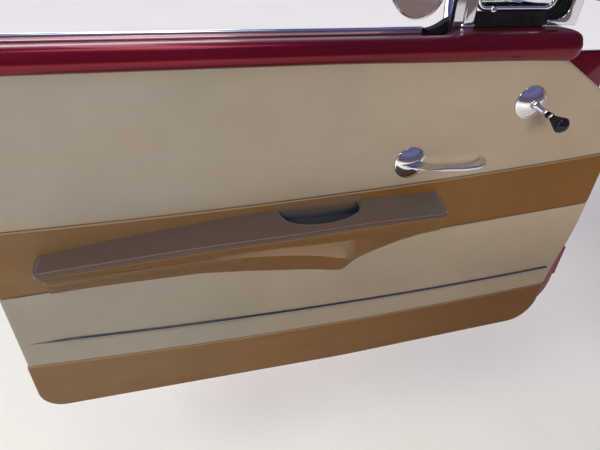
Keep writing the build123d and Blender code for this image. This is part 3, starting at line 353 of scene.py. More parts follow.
# Materials
class Nodes:
    """A small helper that wires the nodes of a material, or of the surround."""

    def __init__(self, owner):
        owner.use_nodes = True
        self.owner, self.tree = owner, owner.node_tree
        self.where = self.node("ShaderNodeTexCoord")["Object"]

    def feed(self, socket, value):
        """Links a socket to another, or sets it to a plain value."""
        if isinstance(value, bpy.types.NodeSocket):
            self.tree.links.new(value, socket)
        else:
            socket.default_value = value

    def node(self, kind, inputs=(), **settings):
        """Adds a node, sets it up, feeds its inputs and gives its outputs."""
        made = self.tree.nodes.new(kind)
        for key, value in settings.items():
            setattr(made, key, value)
        for key, value in dict(inputs).items():
            self.feed(made.inputs[key], value)
        return made.outputs

    def split(self, vector):
        """A vector's coordinates, by name."""
        return self.node("ShaderNodeSeparateXYZ", {0: vector})

    def noise(self, scale, detail=4.0, roughness=0.55, stretch=(1, 1, 1)):
        place = self.node("ShaderNodeMapping", {"Vector": self.where, "Scale": stretch})["Vector"]
        inputs = {"Vector": place, "Scale": scale, "Detail": detail, "Roughness": roughness}
        return self.node("ShaderNodeTexNoise", inputs)["Fac"]

    def cells(self, scale, feature="DISTANCE_TO_EDGE"):
        inputs = {"Vector": self.where, "Scale": scale}
        return self.node("ShaderNodeTexVoronoi", inputs, feature=feature)["Distance"]

    def ramp(self, value, low, high, to_low=0.0, to_high=1.0):
        inputs = {"Value": value, "From Min": low, "From Max": high, "To Min": to_low, "To Max": to_high}
        return self.node("ShaderNodeMapRange", inputs)["Result"]

    def math(self, operation, *values):
        return self.node("ShaderNodeMath", enumerate(values), operation=operation)[0]

    def mix(self, factor, first, second, blend="MIX"):
        first, second = ((*color, 1) if isinstance(color, tuple) else color for color in (first, second))
        inputs = {"Factor": factor, 6: first, 7: second}
        return self.node("ShaderNodeMix", inputs, data_type="RGBA", blend_type=blend)[2]

    def bands(self, value, stops):
        """Colours along a value, from stops of (position, colour)."""
        made = self.tree.nodes.new("ShaderNodeValToRGB")
        self.feed(made.inputs[0], value)
        elements = made.color_ramp.elements
        for element, (position, color) in zip(elements, (stops[0], stops[-1])):
            element.position, element.color = position, (*color, 1)
        for position, color in stops[1:-1]:
            elements.new(position).color = (*color, 1)
        return made.outputs["Color"]

    def bump(self, value, distance, strength, normal=None):
        inputs = {"Height": value, "Distance": distance, "Strength": strength}
        if normal is not None:
            inputs["Normal"] = normal
        return self.node("ShaderNodeBump", inputs)["Normal"]

    def finish(self, color, rough, normal, **fixed):
        shader = self.tree.nodes["Principled BSDF"].inputs
        for key, value in {"Base_Color": color, "Roughness": rough, "Normal": normal, **fixed}.items():
            if value is not None:
                self.feed(shader[key.replace("_", " ")], value)
        return self.owner


def surface(name):
    return Nodes(bpy.data.materials.new(name))


def shade(color, factor):
    return tuple(min(1.0, c * factor) for c in color)


# Where the cloth's painted haze and painted shade run: from the rear to the front, and down towards the
# bottom
REAR_RAMP_FROM, REAR_RAMP_TO = -1.0, -0.15
LOW_SHADE_FROM, LOW_SHADE_TO = -290, -430


def vinyl(name, color, grain=1100, depth=0.00016, rough=(0.42, 0.56), sheen=0.04, rear_haze=None,
          dust=None, gloss=0.28, low_shade=(1, 1, 1), low_shade_rear=1.0):
    """Soft coated cloth: pebble grain and handling marks, with painted light too: a painted haze of sheen
    towards the rear, painted shade on downward faces and low down, most at the front, and upward faces paler
    with dust and painted sheen.
    """
    n = surface(name)
    where = n.split(n.where)
    front = n.ramp(where["X"], REAR_RAMP_FROM, REAR_RAMP_TO)
    pebble = n.ramp(n.cells(grain), 0.0, 0.35)
    broad = n.noise(5.5, 5, 0.6)
    streak = n.noise(9, 3, 0.6, stretch=(0.5, 1.0, 3.0))
    # Painted reflection: towards the rear the colour is mixed to a greyer, paler one, a painted haze of sheen
    rear_haze = rear_haze or color
    tint = n.mix(n.ramp(broad, 0.32, 0.7), n.mix(front, shade(rear_haze, 0.94), shade(color, 0.94)),
                 n.mix(front, shade(rear_haze, 1.12), shade(color, 1.12)))
    tint = n.mix(n.ramp(streak, 0.45, 0.75, 0, 0.35), tint, shade(color, 0.88))
    upward = n.split(n.node("ShaderNodeNewGeometry")["Normal"])["Z"]
    # Painted shade: faces that turn downward are darkened
    tint = n.mix(n.ramp(upward, 0.0, -0.3), tint, shade(color, 0.78))
    # Upward faces are mixed towards a paler colour: dust, and a painted sheen of light from above
    if dust is not None:
        tint = n.mix(n.ramp(upward, 0.12, 0.42), tint, dust)
    # Painted shade: the colour darkens towards the bottom, most at the front and less at the rear
    low = n.ramp(where["Z"], world_height(LOW_SHADE_FROM), world_height(LOW_SHADE_TO))
    low_shaded = n.math("MULTIPLY", low, n.ramp(where["X"], REAR_RAMP_FROM, REAR_RAMP_TO, low_shade_rear, 1.0))
    tint = n.mix(low_shaded, tint, low_shade, blend="MULTIPLY")
    tint = n.mix(n.ramp(pebble, 0, 0.5, 0.22, 0), tint, shade(color, 0.6))
    normal = n.bump(pebble, depth, 0.55)
    normal = n.bump(n.noise(grain * 2.2, 3), depth * 0.5, 0.4, normal)
    normal = n.bump(n.noise(26, 2), 0.0007, 0.35, normal)
    roughness = n.ramp(n.noise(38), 0.3, 0.7, *rough)
    return n.finish(tint, roughness, normal, Sheen_Weight=sheen, Sheen_Roughness=0.45,
                    Specular_IOR_Level=gloss)


def chrome(name, color, rough):
    """Bright plating with faint wiping marks and a slight ripple."""
    n = surface(name)
    marks = n.noise(60, 6, 0.7, stretch=(1, 1, 2.5))
    tint = n.mix(n.ramp(marks, 0.35, 0.75), color, shade(color, 0.88))
    roughness = n.ramp(marks, 0.35, 0.75, *rough)
    return n.finish(tint, roughness, n.bump(n.noise(35, 2), 0.0002, 0.12), Metallic=1.0)


def paint(name, color, flake):
    """Candy red over metallic flakes under a clear coat, with a faint ripple in the coat."""
    n = surface(name)
    flakes = n.cells(2600, "F1")
    tint = n.mix(n.ramp(flakes, 0.2, 0.8), shade(color, 1.35), color)
    tint = n.mix(n.ramp(n.noise(4, 3), 0.35, 0.7), tint, shade(color, 0.8))
    roughness = n.ramp(n.noise(420, 3), 0.3, 0.7, 0.3, 0.4)
    normal = n.bump(n.noise(240, 2), 0.00006, 0.2)
    return n.finish(tint, roughness, normal, Metallic=flake, Specular_IOR_Level=0.15,
                    Coat_Weight=0.4, Coat_Roughness=0.03)


def rubber(name, color, rough=(0.5, 0.72), grain=900, gloss=0.5):
    """Matt black with a little dust."""
    n = surface(name)
    dust = n.noise(40, 5, 0.65)
    tint = n.mix(n.ramp(dust, 0.45, 0.8), color, shade(color, 2.4))
    normal = n.bump(n.noise(grain), 0.00015, 0.35)
    return n.finish(tint, n.ramp(dust, 0.3, 0.7, *rough), normal, Specular_IOR_Level=gloss)


def plated(name, color):
    """Dull plated steel: mottled, with fine brushing."""
    n = surface(name)
    mottle = n.noise(70, 6, 0.7)
    tint = n.mix(n.ramp(mottle, 0.35, 0.7), color, shade(color, 0.62))
    brushed = n.noise(300, 2, 0.5, stretch=(1, 1, 14))
    return n.finish(tint, n.ramp(mottle, 0.3, 0.7, 0.3, 0.5), n.bump(brushed, 0.0001, 0.3), Metallic=1.0)


def pane(name, color):
    """Clear glass with a faint green tint and specks of dust."""
    n = surface(name)
    dust = n.noise(160, 6, 0.7)
    tint = n.mix(n.ramp(dust, 0.55, 0.8), color, shade(color, 0.92))
    return n.finish(tint, n.ramp(dust, 0.6, 0.9, 0.0, 0.08), None, Transmission_Weight=1.0, IOR=1.45)


def shadowed(name, deep, color, low, high):
    """Vinyl with painted shade: it darkens with depth down in the cup, between two heights."""
    n = surface(name)
    tint = n.mix(n.ramp(n.split(n.where)["Z"], world_height(low), world_height(high)), deep, color)
    pebble = n.ramp(n.cells(1100), 0.0, 0.35)
    return n.finish(tint, n.ramp(n.noise(38), 0.3, 0.7, 0.45, 0.6), n.bump(pebble, 0.00016, 0.5))


def painted_reflection_mirror(name, foot, top, low, high):
    """Mirror glass with a painted reflection: smoky brown at its foot and blue towards its top, between two
    heights.
    """
    n = surface(name)
    tint = n.mix(n.ramp(n.split(n.where)["Z"], world_height(low), world_height(high)), foot, top)
    return n.finish(tint, n.ramp(n.noise(60, 6, 0.7), 0.35, 0.75, 0.0, 0.02), None, Metallic=1.0)


def thread(name, color):
    """Twisted sewing thread."""
    n = surface(name)
    twist = n.noise(1500, 2, 0.5)
    return n.finish(n.mix(twist, shade(color, 0.75), shade(color, 1.2)), 0.7, n.bump(twist, 0.0002, 0.6))


# The beige and tan carry a painted haze towards the rear and painted shade low down; the tan's paler upward
# faces are dust with painted sheen
BEIGE = vinyl("beige_vinyl", (0.325, 0.248, 0.166), rear_haze=(0.256, 0.227, 0.180),
              low_shade=(0.66, 0.66, 0.64), low_shade_rear=0.25)
TAN = vinyl("tan_vinyl", (0.145, 0.061, 0.010), rear_haze=(0.158, 0.094, 0.043), dust=(0.24, 0.162, 0.095),
            gloss=0.15, low_shade=(0.70, 0.64, 0.56), low_shade_rear=-0.4)
BROWN = vinyl("brown_vinyl", (0.072, 0.043, 0.026), grain=800, depth=0.0002, rough=(0.36, 0.5), sheen=0.25)
SLATE = vinyl("slate_vinyl", (0.035, 0.037, 0.042), grain=900, rough=(0.3, 0.42), sheen=0.1)
RED = paint("candy_red", (0.14, 0.003, 0.012), flake=0.75)
RED_PLAIN = paint("shell_red", (0.12, 0.003, 0.010), flake=0.5)
CHROME = chrome("chrome_plate", (0.78, 0.79, 0.8), (0.035, 0.09))
STRIP = chrome("strip_bright", (0.24, 0.225, 0.21), (0.16, 0.26))
ZINC = plated("zinc", (0.42, 0.42, 0.41))
RUBBER = rubber("rubber", (0.016, 0.016, 0.018))
SEAL = rubber("vent_rubber", (0.006, 0.006, 0.007), (0.6, 0.8), gloss=0.12)
FELT = rubber("run_felt", (0.012, 0.012, 0.014), (0.8, 0.95), 1600)
KNOB = rubber("knob_plastic", (0.004, 0.004, 0.006), (0.12, 0.22), 300, gloss=0.32)
PANE = pane("window_glass", (0.86, 0.94, 0.9))
# Painted reflection on the mirror glass, brown below and blue above
MIRROR_PAINTED_REFLECTION = painted_reflection_mirror("mirror_painted_reflection", (0.20, 0.155, 0.145), (0.36, 0.50, 0.70), 52, 96)
THREAD = thread("pad_thread", (0.28, 0.22, 0.25))
# Painted shade behind the pull cup, dark at its floor
CUP_BACK = shadowed("cup_trim_painted_shade", (0.03, 0.03, 0.034), (0.14, 0.085, 0.048), -246, -229)
# A near-black material for painted shadow in the seams and screw slots
PAINTED_SHADOW = rubber("painted_shadow", (0.02, 0.014, 0.01), (0.8, 0.95), 1200)


# Trim panel
EDGE = rounded(TRIM_EDGE, steps=24)
ROW_COUNT = 40
ROW_STEPS = (0.35, 0.9, 1.6, 2.6, 4, 6.5)
SHORT_COLUMN = 30.0


def ripple(x, z):
    """Slight unevenness of stretched vinyl over its padding, never proud of the panel."""
    wave = np.sin(x / 210 + 0.6) * np.sin(z / 75 + x / 900) + 0.5 * np.sin(x / 90 - z / 130)
    return 0.22 * (1.5 + wave)


def field_span(x, upper, lower):
    """A field's upper and lower height at a distance along; without a seam it ends at the trim's edge."""
    top, bottom = edge_heights(x, EDGE)
    high = top if upper is None else np.minimum(top, height_at(upper, x))
    low = bottom if lower is None else np.maximum(bottom, height_at(lower, x))
    return high, low


def trim_field(name, upper, lower, material, slot):
    """One upholstered field: its seams pulled in, its outer edge rolled back to the shell."""
    probe = np.linspace(EDGE[:, 0].min(), EDGE[:, 0].max(), 4000)
    high, low = field_span(probe, upper, lower)
    inside = probe[high - low > 0.5]
    columns = ends(inside[0], inside[-1], 150)
    short = ends(0.0, SHORT_COLUMN, ROW_COUNT, ROW_STEPS) / SHORT_COLUMN
    rows = []
    for x, high, low in zip(columns, *field_span(columns, upper, lower)):
        tall = max(high - low, 0.01)
        down = ends(0.0, tall, ROW_COUNT, ROW_STEPS) if tall > SHORT_COLUMN else tall * short
        rows.append(places(x, 0.0, high - down))
    rows = np.array(rows)
    flat = rows[:, :, [0, 2]].reshape(-1, 2)
    outer = nearest(flat, closed(EDGE))
    depth = 5.0 * np.clip(1 - outer / 6.5, 0, 1) ** 2.2
    depth += ripple(flat[:, 0], flat[:, 1]) * np.clip(outer / 20, 0, 1)
    for seam in (upper, lower):
        if seam is not None:
            gap = nearest(flat, arc(seam, 160))
            depth += 2.4 * np.clip(1 - gap / 3.4, 0, 1) ** 2 + 0.35 * np.clip(1 - gap / 16, 0, 1)
    rows[:, :, 1] = np.minimum(depth, TRIM_THICKNESS - 0.2).reshape(rows.shape[:2])
    build = Build(name + "_vinyl")
    build.grid(rows)
    build.flange(rows, TRIM_THICKNESS)
    build.make(material, name, slot, sharp=60)


trim_field("upper_trim_field", None, UPPER_SEAM, BEIGE, "beige_vinyl")
trim_field("middle_trim_band", UPPER_SEAM, BAND_SEAM, TAN, "tan_vinyl")
trim_field("lower_trim_field", BAND_SEAM, LOWER_SEAM, BEIGE, "beige_vinyl")
trim_field("bottom_trim_band", LOWER_SEAM, None, TAN, "tan_vinyl")

# A dark cord of painted shadow down in each seam
for number, seam in enumerate((UPPER_SEAM, BAND_SEAM, LOWER_SEAM), 1):
    shadow = Build(f"seam_cord_{number}")
    swept(shadow, upright(arc(seam, 120)[2:-2], 3.0), 0.7, ring(8), up=(0, 1, 0))
    shadow.make(PAINTED_SHADOW)

# Bright strip on the lower field: half-round, pointed at its rear end and round at the front
STRIP_TIP, STRIP_FULL, STRIP_ROUND = 17, 87, 1064
line = arc([(STRIP_FULL, -457.5), (500, -472.5), (1074, -459)], 150)
along = stations(np.linspace(STRIP_TIP, STRIP_FULL, 9), np.linspace(95, 1063, 120),
                 STRIP_ROUND + 4 * np.sin(np.linspace(0, pi / 2, 8)))
centre = np.interp(along, [STRIP_TIP, *line[:, 0]], [-455, *line[:, 1]])
half = np.interp(along, [STRIP_TIP, STRIP_FULL, STRIP_ROUND], [0.03, 4.5, 3.9])
half *= np.sqrt(np.clip(1 - (np.maximum(along - STRIP_ROUND, 0) / 4.01) ** 2, 0, 1))
angles = np.linspace(0, pi, 13)
strip = Build("chrome_strip")
strip.grid([
    places(x, 0.4 - min(4.0, h + 0.3) * np.sin(angles) ** 0.8, z + h * np.cos(angles))
    for x, z, h in zip(along, centre, half)
])
strip.make(STRIP, "trim_strip", sharp=None)

# Armrest
REST_REAR, REST_FRONT = 76, 745
REST_TOP = [(REST_REAR, -266), (430, -227), (REST_FRONT, -224)]
REST_FOOT = [(REST_REAR, -286), (440, -259), (REST_FRONT, -261)]
REST_PLAN = rounded(
    [((REST_REAR, 0), 0), ((REST_REAR, 46), 12)]
    + [(tuple(p), 0) for p in arc([(REST_REAR, 46), (270, 65), (480, 76)], 40)[2:]]
    + [((733, 70), 18), ((REST_FRONT, 0), 0)]
)
PAD_EDGE = fine_line(REST_PLAN, 3.0)
PAD_SEAM = 4.6
STITCH = 4.6

# The pull cup's edge on the pad, and the width of the dark lip that rolls in from it
CUP_EDGE = spline([
    (450, -3), (452, 4), (453, 12), (455.5, 22), (460, 31.5), (469.4, 41), (485, 48), (505, 52.5),
    (525, 53.5), (545, 51), (563, 45.5), (577, 38), (586, 29), (591, 18), (591.5, 8), (590, 0), (589, -3),
], 200)
CUP_LINE = CUP_EDGE[CUP_EDGE[:, 1] > -2.5]
CUP_FLOOR = -252.4
LIP_ALONG = [450, 460, 470, 485, 512, 540, 563, 580, 590, 592]
LIP_WIDTH = [1.0, 1.5, 3.2, 7, 9.5, 10.5, 11.5, 11, 8, 6]
LIP_ROLL = 0.62


def rest_top(x):
    return height_at(REST_TOP, x)


def rest_foot(x):
    """The fascia's foot: a little deeper towards both ends of the armrest."""
    return height_at(REST_FOOT, x) - 8.4 + 3.8 * np.exp(-(((x - 430) / 85) ** 2))


def pad_foot(x):
    """The foot of the cushion at its border."""
    return rest_top(x) - 18.2 + 4.4 * smooth(x, 610, 740)


def inset(line, distance):
    """A plan line moved inward, towards the wall and the armrest's middle."""
    tangent = np.gradient(line, axis=0)
    tangent /= np.maximum(np.linalg.norm(tangent, axis=1), 1e-9)[:, None]
    normal = np.column_stack([tangent[:, 1], -tangent[:, 0]])
    return line + normal * np.reshape(distance, (-1, 1))


def inset_clear(line, distance):
    """A plan line moved inward, but never behind the wall."""
    moved = inset(line, distance)
    moved[:, 1] = np.maximum(moved[:, 1], 0)
    return moved


def cup_reach(x):
    """How far the pull cup's edge stands from the wall."""
    line = CUP_EDGE[CUP_EDGE[:, 1] >= 0]
    line = line[np.argsort(line[:, 0])]
    return np.interp(x, line[:, 0], line[:, 1], left=0, right=0)


def pad_height(points):
    """The pad's top: nearly flat, falling to a small rolled border with a seam beside it."""
    x, reach = points.T
    border = nearest(points, REST_PLAN[1:-1])
    crown = 4.4 * np.clip(reach / 76, 0, 1.05) ** 1.2
    roll = 2.6 * (1 - np.sqrt(np.clip(1 - (1 - np.clip(border / 3.0, 0, 1)) ** 2, 0, 1)))
    seam = 0.7 * np.exp(-(((border - PAD_SEAM) / 0.9) ** 2))
    soft = 0.45 * np.sin(x / 61) * np.sin(reach / 24 + x / 150)
    wall = 1.6 * np.clip(1 - reach / 4, 0, 1) ** 2 * (cup_reach(x) <= 0)
    dip = 1.2 + 3.0 * np.clip(1 - reach / 14, 0, 1)
    dip *= np.clip(1 - nearest(points, CUP_LINE) / 5.5, 0, 1) ** 2
    return rest_top(x) - 6.0 - crown - roll - seam - wall - dip + soft


columns = stations(ends(REST_REAR, REST_FRONT, 130), np.linspace(440, 470, 34), np.linspace(560, 600, 34))
outer = np.interp(columns, REST_PLAN[1:, 0], REST_PLAN[1:, 1])
outer[0] = REST_PLAN[REST_PLAN[:, 0] < REST_REAR + 0.01][:, 1].max()
share = np.concatenate([np.linspace(0, 0.2, 12), np.linspace(0.25, 0.86, 16), np.linspace(0.88, 1, 18)])
flat = between(columns, cup_reach(columns), outer, share)
top = lying(flat, pad_height(flat)).reshape(len(columns), -1, 3)
pad = Build("armrest_cushion")
pad.grid(top)
border = np.concatenate([top[0][:-1], top[:, -1]])
plan_line = np.column_stack([border[:, 0], -border[:, 1]])
rings = [border]
for pull, drop in ((-0.25, -1.8), (-0.1, -1.0), (0.5, -0.3), (1.6, 0.0), (10.0, 0.1)):
    moved = inset_clear(plan_line, pull)
    moved[[0, -1]] = plan_line[[0, -1]]
    rings.append(lying(moved, pad_foot(moved[:, 0]) - drop))
pad.grid(rings)
cushion = pad.make(BROWN, "armrest_pad", "brown_vinyl", sharp=None)

# Stitches along the seam beside the pad's border
seam_line = inset(PAD_EDGE, PAD_SEAM)
seam_line = fine_line(seam_line[seam_line[:, 1] > 4], STITCH)
stitches = Build("pad_stitches")
for a, b in zip(seam_line[:-1], seam_line[1:]):
    pair = np.array([a + (b - a) * s for s in (0.08, 0.2, 0.5, 0.8, 0.92)])
    z = pad_height(pair)
    z[[0, -1]] -= 0.3
    swept(stitches, lying(pair, z + 0.12), np.array([0.1, 0.34, 0.4, 0.34, 0.1]), ring(6))
stitches.make(THREAD, merge=0.001)

# Pull cup: a dark lip rolls in from the pad, then walls fall to the floor
lip_wide = np.interp(CUP_LINE[:, 0], LIP_ALONG, LIP_WIDTH)
lip_top = pad_height(CUP_LINE) + 0.5
cup = Build("pull_cup_lining")
rows = [np.column_stack([inset(CUP_LINE, 1.2), lip_top - 1.8])]
for a in np.linspace(0, pi / 2, 11):
    fall = np.minimum(lip_wide, 7.0) * 0.8 * (1 - cos(a))
    rows.append(np.column_stack([inset(CUP_LINE, -lip_wide * sin(a) * LIP_ROLL), lip_top - fall]))
edge_z = rows[-1][:, 2]
for share, drop in ((0.25, 0.2), (0.5, 0.45), (0.72, 0.7), (0.86, 0.88), (0.95, 0.97), (1.0, 1.0)):
    line = inset(CUP_LINE, -lip_wide * LIP_ROLL - 1.5 * share - 3.5 * share**8)
    rows.append(np.column_stack([line, edge_z + (CUP_FLOOR - edge_z) * drop]))
last = rows[-1]
for share in (0.12, 0.4, 0.7, 1.0):
    rows.append(last + ((524.0, 6.0, CUP_FLOOR) - last) * share)
rows = np.array(rows)
rows[:, :, 1] = -np.maximum(rows[:, :, 1], 0.0)
cup.grid(rows)
cup.make(SLATE, sharp=None)

# The trim behind the cup, with painted shade that darkens it towards its floor
back = Build("pull_cup_back")
along = np.linspace(447, 598, 40)
high = rest_top(along) + 3.0
back.grid([
    places(along, -0.5 - 4.0 * smooth(share, 0.6, 1.0), high + (CUP_FLOOR - high) * share)
    for share in np.linspace(0, 1, 14)
])
back.make(CUP_BACK, sharp=None)

# Armrest base: a fascia that leans in under the pad, as pull, share of its height and lift
base_line = inset_clear(PAD_EDGE, 1.5)
base_line[:, 0] = np.clip(base_line[:, 0], REST_REAR + 1.5, REST_FRONT - 1.5)
upper_z = pad_foot(base_line[:, 0]) + 1.0
fall = rest_foot(base_line[:, 0]) - upper_z
base = Build("armrest_base_trim")
rings = [
    lying(inset_clear(base_line, pull), upper_z + fall * share + lift)
    for pull, share, lift in (
        (2.5, 0, 0), (0.3, 0, 0), (0, 0.06, 0), (1.5, 0.3, 0), (3.6, 0.6, 0), (5.3, 0.82, 0.3),
        (6.6, 1, 1.1), (7.6, 1, 0.3), (8.8, 1, 0), (12, 1, 0), (20, 1, 0),
    )
]
rings.append(rings[-1] * (1, 0, 1))
base.grid(rings)
base.make(TAN, "armrest_base", "tan_vinyl", sharp=50)

# Shelf below the armrest: along, reach of its root, reach and height of its edge, reach of its
# foot and how far the foot hangs below the seam
SHELF = np.array([
    (77.6, 6, 13, -303, 1, 0), (79, 14, 25, -300.5, 2, 0), (82, 22, 33, -299.5, 2, 0),
    (88, 28, 39.5, -299, 2, 0), (100, 31, 42.5, -298, 2, 0), (130, 34, 45, -294, 2, 0),
    (166, 37, 47.5, -289.5, 3, 0), (240, 42, 52, -282, 7, 0), (317, 46, 56, -277, 11, 0),
    (400, 47, 58, -279.5, 26, 0), (440, 47, 58.5, -283, 34, 1), (485, 45, 59, -289, 41, 3),
    (518, 42, 61, -294, 47, 5.5), (540, 40, 63.8, -298.5, 51.5, 7.8), (552, 38, 64.8, -301, 53.5, 8.4),
    (558, 37.5, 64, -303, 53.5, 7.4), (572, 37, 55, -316, 48, 2.2), (580, 37, 48, -319.5, 44.5, 0.3),
    (593, 36.5, 40, -321.5, 38, 0), (636, 34, 24, -321, 23, 0), (683, 27, 12, -318, 11, 0),
    (732, 8, 5, -315.6, 4.5, 0), (746, 3, 4, -314.6, 3, 0), (770, 1, 2, -313.5, 2, 0),
])
along = stations(np.linspace(77.6, 84, 9), np.linspace(86, 530, 90), np.linspace(532, 600, 50),
                 np.linspace(603, 769, 50))
root, tip, tip_z, foot, hang = (np.interp(along, SHELF[:, 0], column) for column in SHELF.T[1:])
blend = smooth(along, 736, 746)
crest = (rest_foot(along) + 1.0) * (1 - blend) + (tip_z + 1.0) * blend
seam_z = height_at(BAND_SEAM, along)
shelf = Build("armrest_shelf_trim")
rows = [places(along, 0, crest), places(along, -root, crest)]
for share in (0.3, 0.6, 0.85):
    sag = 1.2 * sin(pi * share)
    rows.append(places(along, -root - (tip - root) * share, crest + (tip_z - crest) * share - sag))
turn = np.minimum(1.8, tip * 0.2)
for a in np.radians(np.linspace(-35, 80, 8)):
    rows.append(places(along, -(tip - turn + turn * cos(a)), tip_z - turn * sin(a) - turn * 0.3))
edge_reach, edge_z = -rows[-1][:, 1], rows[-1][:, 2]
fall = np.minimum(seam_z - hang, edge_z) - edge_z
for share in (0.3, 0.6, 0.9, 1.0):
    bow = sin(pi * share) * (tip > 8)
    rows.append(places(along, -(edge_reach + (foot - edge_reach) * share + bow), edge_z + fall * share))
close_z = np.minimum(seam_z, edge_z) - 0.2
rows += [places(along, -foot * 0.5, close_z), places(along, 0.6, close_z)]
shelf.grid(rows)
shelf.fan(np.array(rows)[:, 0], heart=(77.6, -4.0, -312.0))
shelf.make(TAN, "armrest_shelf", "tan_vinyl", sharp=42)

# Belt rail, with the height of its nose's middle
NOSE_START, NOSE_LENGTH, NOSE_MIDDLE = 926, 20, 19


def rail_section(x):
    """The rail's section at a distance along, as (depth, height), from its foot over its top."""
    wide = float(smooth(x, 698, 756))
    depth = 26 + 22 * wide
    top = 35.5 + 4.5 * wide
    edge = 30.5 + 8 * wide
    drop = np.interp(x, [540, 613, 661, 730, 800, 870, 910, 946], [0, 1, 2, 3, 3.6, 5, 6.4, 7.2])
    return spline([
        (-2.5, 2.0 - drop), (-6.5, 4.2 - 0.85 * drop), (-10.2, 8.5 - 0.6 * drop), (-12.0, 14.5 - 0.3 * drop),
        (-11.2, 21.5), (-8.6, 27.5 + 1.5 * wide), (-4.6, top - 3.4), (1.2, top - 0.9), (0.36 * depth, top),
        (depth - 6, edge + (top - edge) * 0.45 - 0.1), (depth - 1.4, edge - 0.4), (depth, edge - 2.4),
        (depth, edge - 9), (depth, edge - 18),
    ], 60)


def round_nose(line, x):
    """Squeezes a section towards its middle near the rail's rounded front end."""
    past = (x - NOSE_START) / NOSE_LENGTH
    over = 1 + 20 * np.sqrt(1 - past**2)
    under = 1 + 16 * np.sqrt(1 - np.clip((x - 930) / 16, 0, 1) ** 2)
    depth, height = line[:, 0] - 18, line[:, 1] - NOSE_MIDDLE
    squeezed = height * np.where(height > 0, over / 21, under / 17)
    return np.column_stack([18 + depth * (0.6 + 0.4 * np.sqrt(1 - past**2)), NOSE_MIDDLE + squeezed])


rail = Build("belt_rail_paint")
rows = []
for x in stations([-2.5, -2.3, -1.8, -0.8], np.linspace(0.5, 690, 60), np.linspace(695, 760, 50),
                  np.linspace(765, 922, 24), NOSE_START + NOSE_LENGTH * np.sin(np.linspace(0, pi / 2, 18))):
    line = rail_section(x)
    if x > NOSE_START:
        line = round_nose(line, x)
    if x < 0:
        line = line + ((8, 20) - line) * 0.04 * (-x / 2.5) ** 4
    rows.append(places(x, *line.T))
rail.grid(rows)
rail.fan(rows[0])
rail.fan(rows[-1])
rail.make(RED, "belt_rail", "red_paint", sharp=50)

# Outer skin: crowned in height and in plan, its edge rolled to the flange
SKIN_EDGE = rounded([
    ((-20, 25), 6), ((960, 25), 20), ((985, -18), 20), ((1121, -18), 14),
    ((1121, -616), 95), ((600, -651), 1500), ((-20, -645), 40),
], steps=24)
SKIN_ROLL = 2.5
PLAN_RADIUS, PLAN_MIDDLE = 28000, 550.5


def skin_depth(x, z):
    """The skin's outer face: an arc in height, turned about a far axis in plan."""
    section = height_at([(25, 110), (-250, 122), (-651, 107)], z, 200)
    return np.sqrt((PLAN_RADIUS + section) ** 2 - (x - PLAN_MIDDLE) ** 2) - PLAN_RADIUS


columns = stations(ends(-20, 1121, 110, fine=(0.3, 0.8, 1.5, 2.5, 5, 10, 20, 32)), np.linspace(935, 1005, 40))
share = ends(0.0, 1000.0, 60, fine=(0.5, 1.2, 2.2, 4, 8, 16, 32)) / 1000.0
flat = between(columns, *edge_heights(columns, SKIN_EDGE), share)
turned = np.clip(1 - nearest(flat, closed(SKIN_EDGE)) / SKIN_ROLL, 0, 1)
depth = skin_depth(*flat.T) - SKIN_ROLL * (1 - np.sqrt(1 - turned**2))
rows = upright(flat, depth).reshape(len(columns), -1, 3)
skin = Build("outer_skin_paint")
skin.grid(rows)
skin.flange(rows, 98.2)

# The skin's return over the door's top edge, down to the window slot
along = np.linspace(-17, 956, 90)
skin.grid([
    places(along, depth, height)
    for depth, height in ((98.5, 24.9), (88, 24.9), (77.5, 24.9), (75.6, 24.4), (74.4, 22.8),
                          (74.2, 18), (74.2, 12), (75.4, 11.2), (76, 14))
])
skin.make(RED, "outer_skin", "red_paint", sharp=50)

# Chrome strip along the skin's top edge
STRIP_END = 720
strip = Build("belt_strip_chrome")
turn = np.linspace(0, pi, 15)
rows = []
for x in stations([0.2, 0.6, 1.5, 3], np.linspace(6, 714, 60), [716, 718, 719.3, 719.8]):
    size = min(1.0, 0.35 + 0.65 * min(x, STRIP_END - x) / 3.0)
    rows.append(places(x, 104.5 - 4.5 * size * np.cos(turn), 25 + 3.5 * size * np.sin(turn) ** 0.9))
strip.grid(rows)
strip.fan(rows[0])
strip.fan(rows[-1])
strip.make(CHROME, "belt_strip", sharp=50)

# Inside handle and crank
HANDLE_ALONG, HANDLE_HEIGHT = 680, -166
CRANK_ALONG, CRANK_HEIGHT = 883, -72


def escutcheon(name, along, height, node):
    """A domed plate with a rolled rim."""
    made = Build(name)
    rim = [(0, 27.6), (0.3, 28.3), (1.0, 28.5), (1.7, 28.3), (2.1, 27.6), (2.3, 27.0)]
    lathed(made, (along, 0, height), (0, -1, 0), rim + cap_outline(2.4, 26.6, 13.0, 18), 88)
    made.make(CHROME, node, sharp=None)


escutcheon("handle_dome", HANDLE_ALONG, HANDLE_HEIGHT, "handle_escutcheon")
escutcheon("crank_dome", CRANK_ALONG, CRANK_HEIGHT, "crank_escutcheon")

